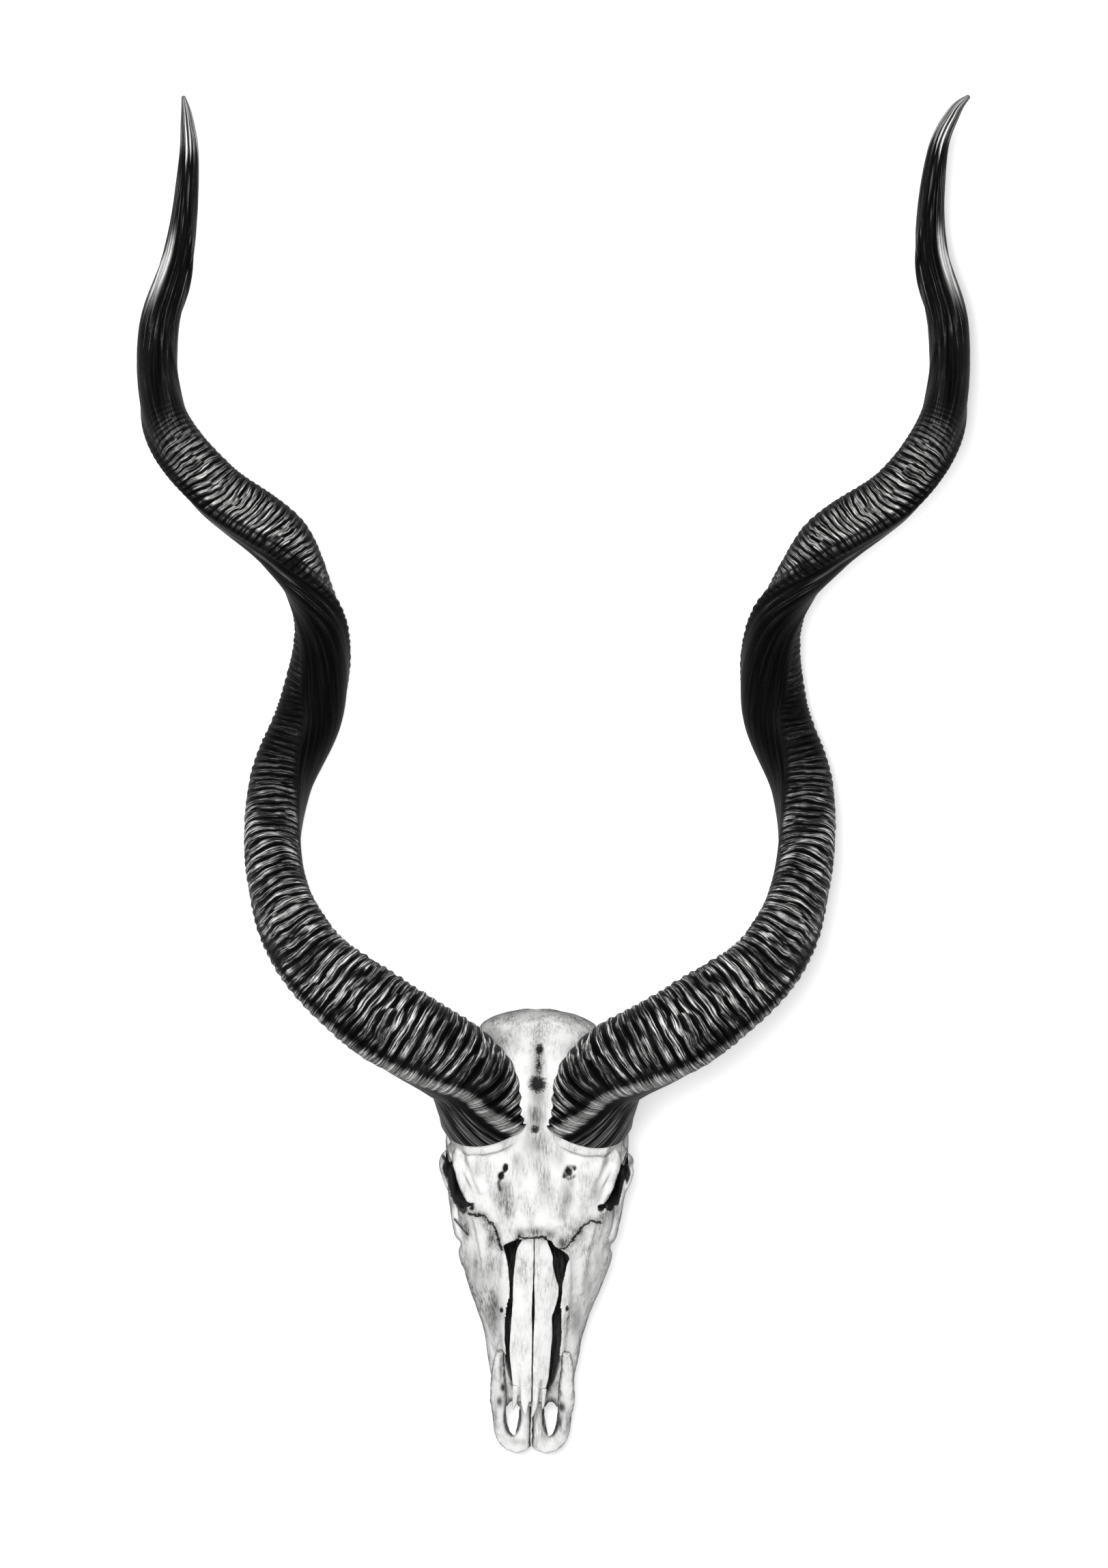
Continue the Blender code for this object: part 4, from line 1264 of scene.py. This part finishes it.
def build_nasal(word, side):
    bm = bmesh.new()
    rings = []
    for y, left, right, crest, drop, slit in smooth_keys(NASALS, 60):
        outer = left if side < 0 else right
        top = []
        for share in np.linspace(0, 1, 9):
            top.append(((slit + (outer - slit) * share) * side, y, crest - drop * share**2))
        rings.append(top + [(x, y, z - NASAL_THICKNESS) for x, y, z in top[::-1]])
    add_loft(bm, rings)
    for point in NASAL_POINTS[word]:
        add_limb(bm, point)
    obj = skull_object(f"nasal_{word}_bone", bm)
    grow_together(obj, NASAL_GRAIN, 3)
    places = skull_places(obj.data)
    fork = hollow(line_distance(places, NASAL_FORKS[word])[0], 1.3) * facing_up(obj.data)
    long_wave = swell(places * np.array([1, 0.25, 1]), 5.0, Vector((side, 2, 5)))
    carve(obj, long_wave * 0.35 - fork * 0.9)
    modifier(obj, "DECIMATE", ratio=0.5)
    settle(obj)
    places = skull_places(obj.data)
    # Darker along the fork groove and towards the root, and painted shade on steep walls
    fork = hollow(line_distance(places, NASAL_FORKS[word])[0], 1.1) * facing_up(obj.data)
    fork = fork * np.clip((-places[:, 1] - 112) / 30, 0, 1)
    root = np.clip((places[:, 1] + 5) / 8, 0, 1)
    dirt_and_painted_shade = np.maximum(fork * 0.5, root * 0.3)
    paint(obj.data, "dirt_and_painted_shade", np.maximum(dirt_and_painted_shade, steep_shade(obj.data)))
    return obj


# Premaxillae
#
# The two front bones of the upper jaw, at the tip of the nose. Each is a fork: a long outer arm beside the jaw and a
# short inner arm over the palate, with an open slot between. Rows are x, y, z, half width and half height.
PREMAXILLA_OUTER = [
    (9, -179, 25, 7, 3),
    (18, -177, 26, 7, 4),
    (25, -169, 28, 6.5, 5),
    (28, -152, 33, 6, 7),
    (29, -140, 38, 7.2, 8),
    (29.2, -126, 46, 6.6, 8),
    (29.5, -112, 54, 5.2, 6),
    (28.5, -98, 61, 3.2, 4),
]
PREMAXILLA_TIP = ((9.3, -177, 25), (8.9, 7.5, 3.6))
PREMAXILLA_INNER = [
    (8.6, -179, 25, 8.3, 3),
    (7.2, -170, 25, 6.9, 3),
    (5.8, -155, 26, 5.5, 2.5),
    (5.4, -142, 27, 5.1, 2),
]
PREMAXILLA_GRAIN = 0.7
# Soft grey patches, partly painted shade beside the slots and under the nasal bones: x, y, half width, half
# length, darkness
PREMAXILLA_SHADES = [
    (-24.6, -129, 2.2, 3.5, 0.9),
    (-27.5, -141, 2.5, 4.5, 0.7),
    (25.5, -145, 3.0, 4.5, 0.8),
    (24.0, -158, 2.5, 6.0, 0.7),
    (21.0, -131, 2.5, 6.0, 0.6),
    (-27.0, -110, 1.2, 16, 0.4),
    (-11, -176, 8, 3, 0.22),
    (12, -172, 5, 5, 0.2),
    (-31, -150, 2.5, 20, 0.25),
    (31, -160, 2.5, 14, 0.3),
]


def build_premaxilla(word, side):
    bm = bmesh.new()
    for arm in (PREMAXILLA_OUTER, PREMAXILLA_INNER):
        add_limb(bm, [mirrored(row, side) for row in arm])
    add_ball(bm, mirrored(PREMAXILLA_TIP[0], side), PREMAXILLA_TIP[1])
    obj = skull_object(f"premaxilla_{word}_bone", bm)
    grow_together(obj, PREMAXILLA_GRAIN, 4)
    carve(obj, swell(skull_places(obj.data), 6.0, Vector((side, 9, 2))) * 0.5)
    modifier(obj, "DECIMATE", ratio=0.5)
    settle(obj)
    places = skull_places(obj.data)
    # Painted shade along the slots' rims, in the gap at the middle line and on steep walls, and grey patches
    dirt_and_painted_shade = np.maximum(slot_edge(places) * 0.75, hollow(places[:, 0], 2.1))
    for x, y, half_x, half_y, dark in PREMAXILLA_SHADES:
        from_patch = np.hypot((places[:, 0] - x) / half_x, (places[:, 1] - y) / half_y)
        dirt_and_painted_shade = np.maximum(dirt_and_painted_shade, hollow(from_patch, 1.0) * dark)
    paint(obj.data, "dirt_and_painted_shade", np.maximum(dirt_and_painted_shade, steep_shade(obj.data) * 1.2))
    return obj


# Cheek teeth
#
# Twelve upper grinders with ribbed sides and worn crescents on their flat faces, grown in sockets of the jaws. The
# skull stands on them. Rows are the name, y of the middle, length and width.
TEETH = [
    ("premolar_1", -69.5, 11.4, 11),
    ("premolar_2", -56.5, 13.4, 13),
    ("premolar_3", -42.0, 14.4, 14),
    ("molar_1", -24.8, 19.0, 15.5),
    ("molar_2", -4.8, 19.8, 16),
    ("molar_3", 15.4, 19.4, 15),
]
TOOTH_ROW_X = (28.5, 33.5)
TOOTH_SECTIONS = [(0, 0.985), (0.5, 1.0), (12, 1.03), (26, 0.82)]
TOOTH_FIT_SHARE = 0.96
TOOTH_RIB = 0.045
CRESCENT_DEPTH = 1.6


def build_tooth(name, word, side, y, length, width):
    share = (y - TEETH[0][1]) / (TEETH[-1][1] - TEETH[0][1])
    x = TOOTH_ROW_X[0] + (TOOTH_ROW_X[1] - TOOTH_ROW_X[0]) * share
    ribs = 4 if name.startswith("molar") else 3
    turns = np.linspace(0, math.tau, 72, endpoint=False)
    reach = (np.abs(np.cos(turns)) ** 4 + np.abs(np.sin(turns)) ** 4) ** -0.25
    reach = reach * (1 - TOOTH_RIB + TOOTH_RIB * np.cos(turns * ribs * 2))
    sections = [(0.0, 0.985 * inner) for inner in (0.04, 0.25, 0.45, 0.62, 0.78, 0.9)]
    sections += [tuple(row) for row in smooth_keys(TOOTH_SECTIONS, 16)]
    rings = []
    for z, size in sections:
        ring = []
        for turn, out in zip(turns, reach):
            across = 0.5 * width * size * out * math.cos(turn)
            along = 0.5 * length * TOOTH_FIT_SHARE * size * out * math.sin(turn)
            height = z
            if z == 0:
                wave = math.cos(along / length * math.tau * 2) * math.cos(across / width * math.tau)
                height = CRESCENT_DEPTH * max(0.0, -wave) * (size < 0.9)
            ring.append(((x + across) * side, y + along, height))
        rings.append(ring)
    bm = bmesh.new()
    add_loft(bm, rings)
    obj = skull_object(f"{name}_{word}_crown", bm)
    obj.data.materials.append(tooth_enamel)
    for polygon in obj.data.polygons:
        polygon.use_smooth = True
    return obj


def tooth_material():
    made, tree, shader = shader_tree("tooth enamel")
    x, y, z = object_place(tree)
    streaks = noise(tree, packed(tree, x / 1.5, y / 1.5, z / 12.0), detail=4.0, roughness=0.7)
    stain = noise(tree, packed(tree, x / 6.0, y / 6.0, z / 6.0), detail=3.0)
    near_root = z.between(10.0, 26.0)
    dark = (streaks - 0.4) * 0.6 + (stain - 0.4) * 0.5 + near_root * 0.25
    tree.links.new(shades(tree, dark.clamped(), TOOTH_SHADES).socket, shader.inputs["Base Color"])
    shader.inputs["Roughness"].default_value = 0.35
    bump(tree, shader, streaks, 0.4)
    return made


TOOTH_SHADES = [(0.0, 0.66), (0.4, 0.42), (1.0, 0.08)]
tooth_enamel = tooth_material()
fitted = {}
for side, word in ((-1, "left"), (1, "right")):
    fitted["nasal_" + word] = build_nasal(word, side)
    fitted["premaxilla_" + word] = build_premaxilla(word, side)
    for tooth, y, length, width in TEETH:
        fitted[f"{tooth}_{word}"] = build_tooth(tooth, word, side, y, length, width)

cut_away(cranium, [limb_cutter(BRAIN_HOLLOW)])
seats = [grown_copy(piece) for piece in [*horns, *fitted.values()]]
cut_away(cranium, seats)
paint_face(cranium.data)
for name, piece in {"cranium": cranium, **fitted}.items():
    is_tooth = "molar" in name
    if not is_tooth and piece is not cranium:
        paint(piece.data, "pit_and_socket_shade", np.full(len(piece.data.vertices), -1.0))
    if not is_tooth:
        piece.data.materials.clear()
        piece.data.materials.append(skull_bone)
        for polygon in piece.data.polygons:
            polygon.use_smooth = True
    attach(piece, "root")
    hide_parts(name)
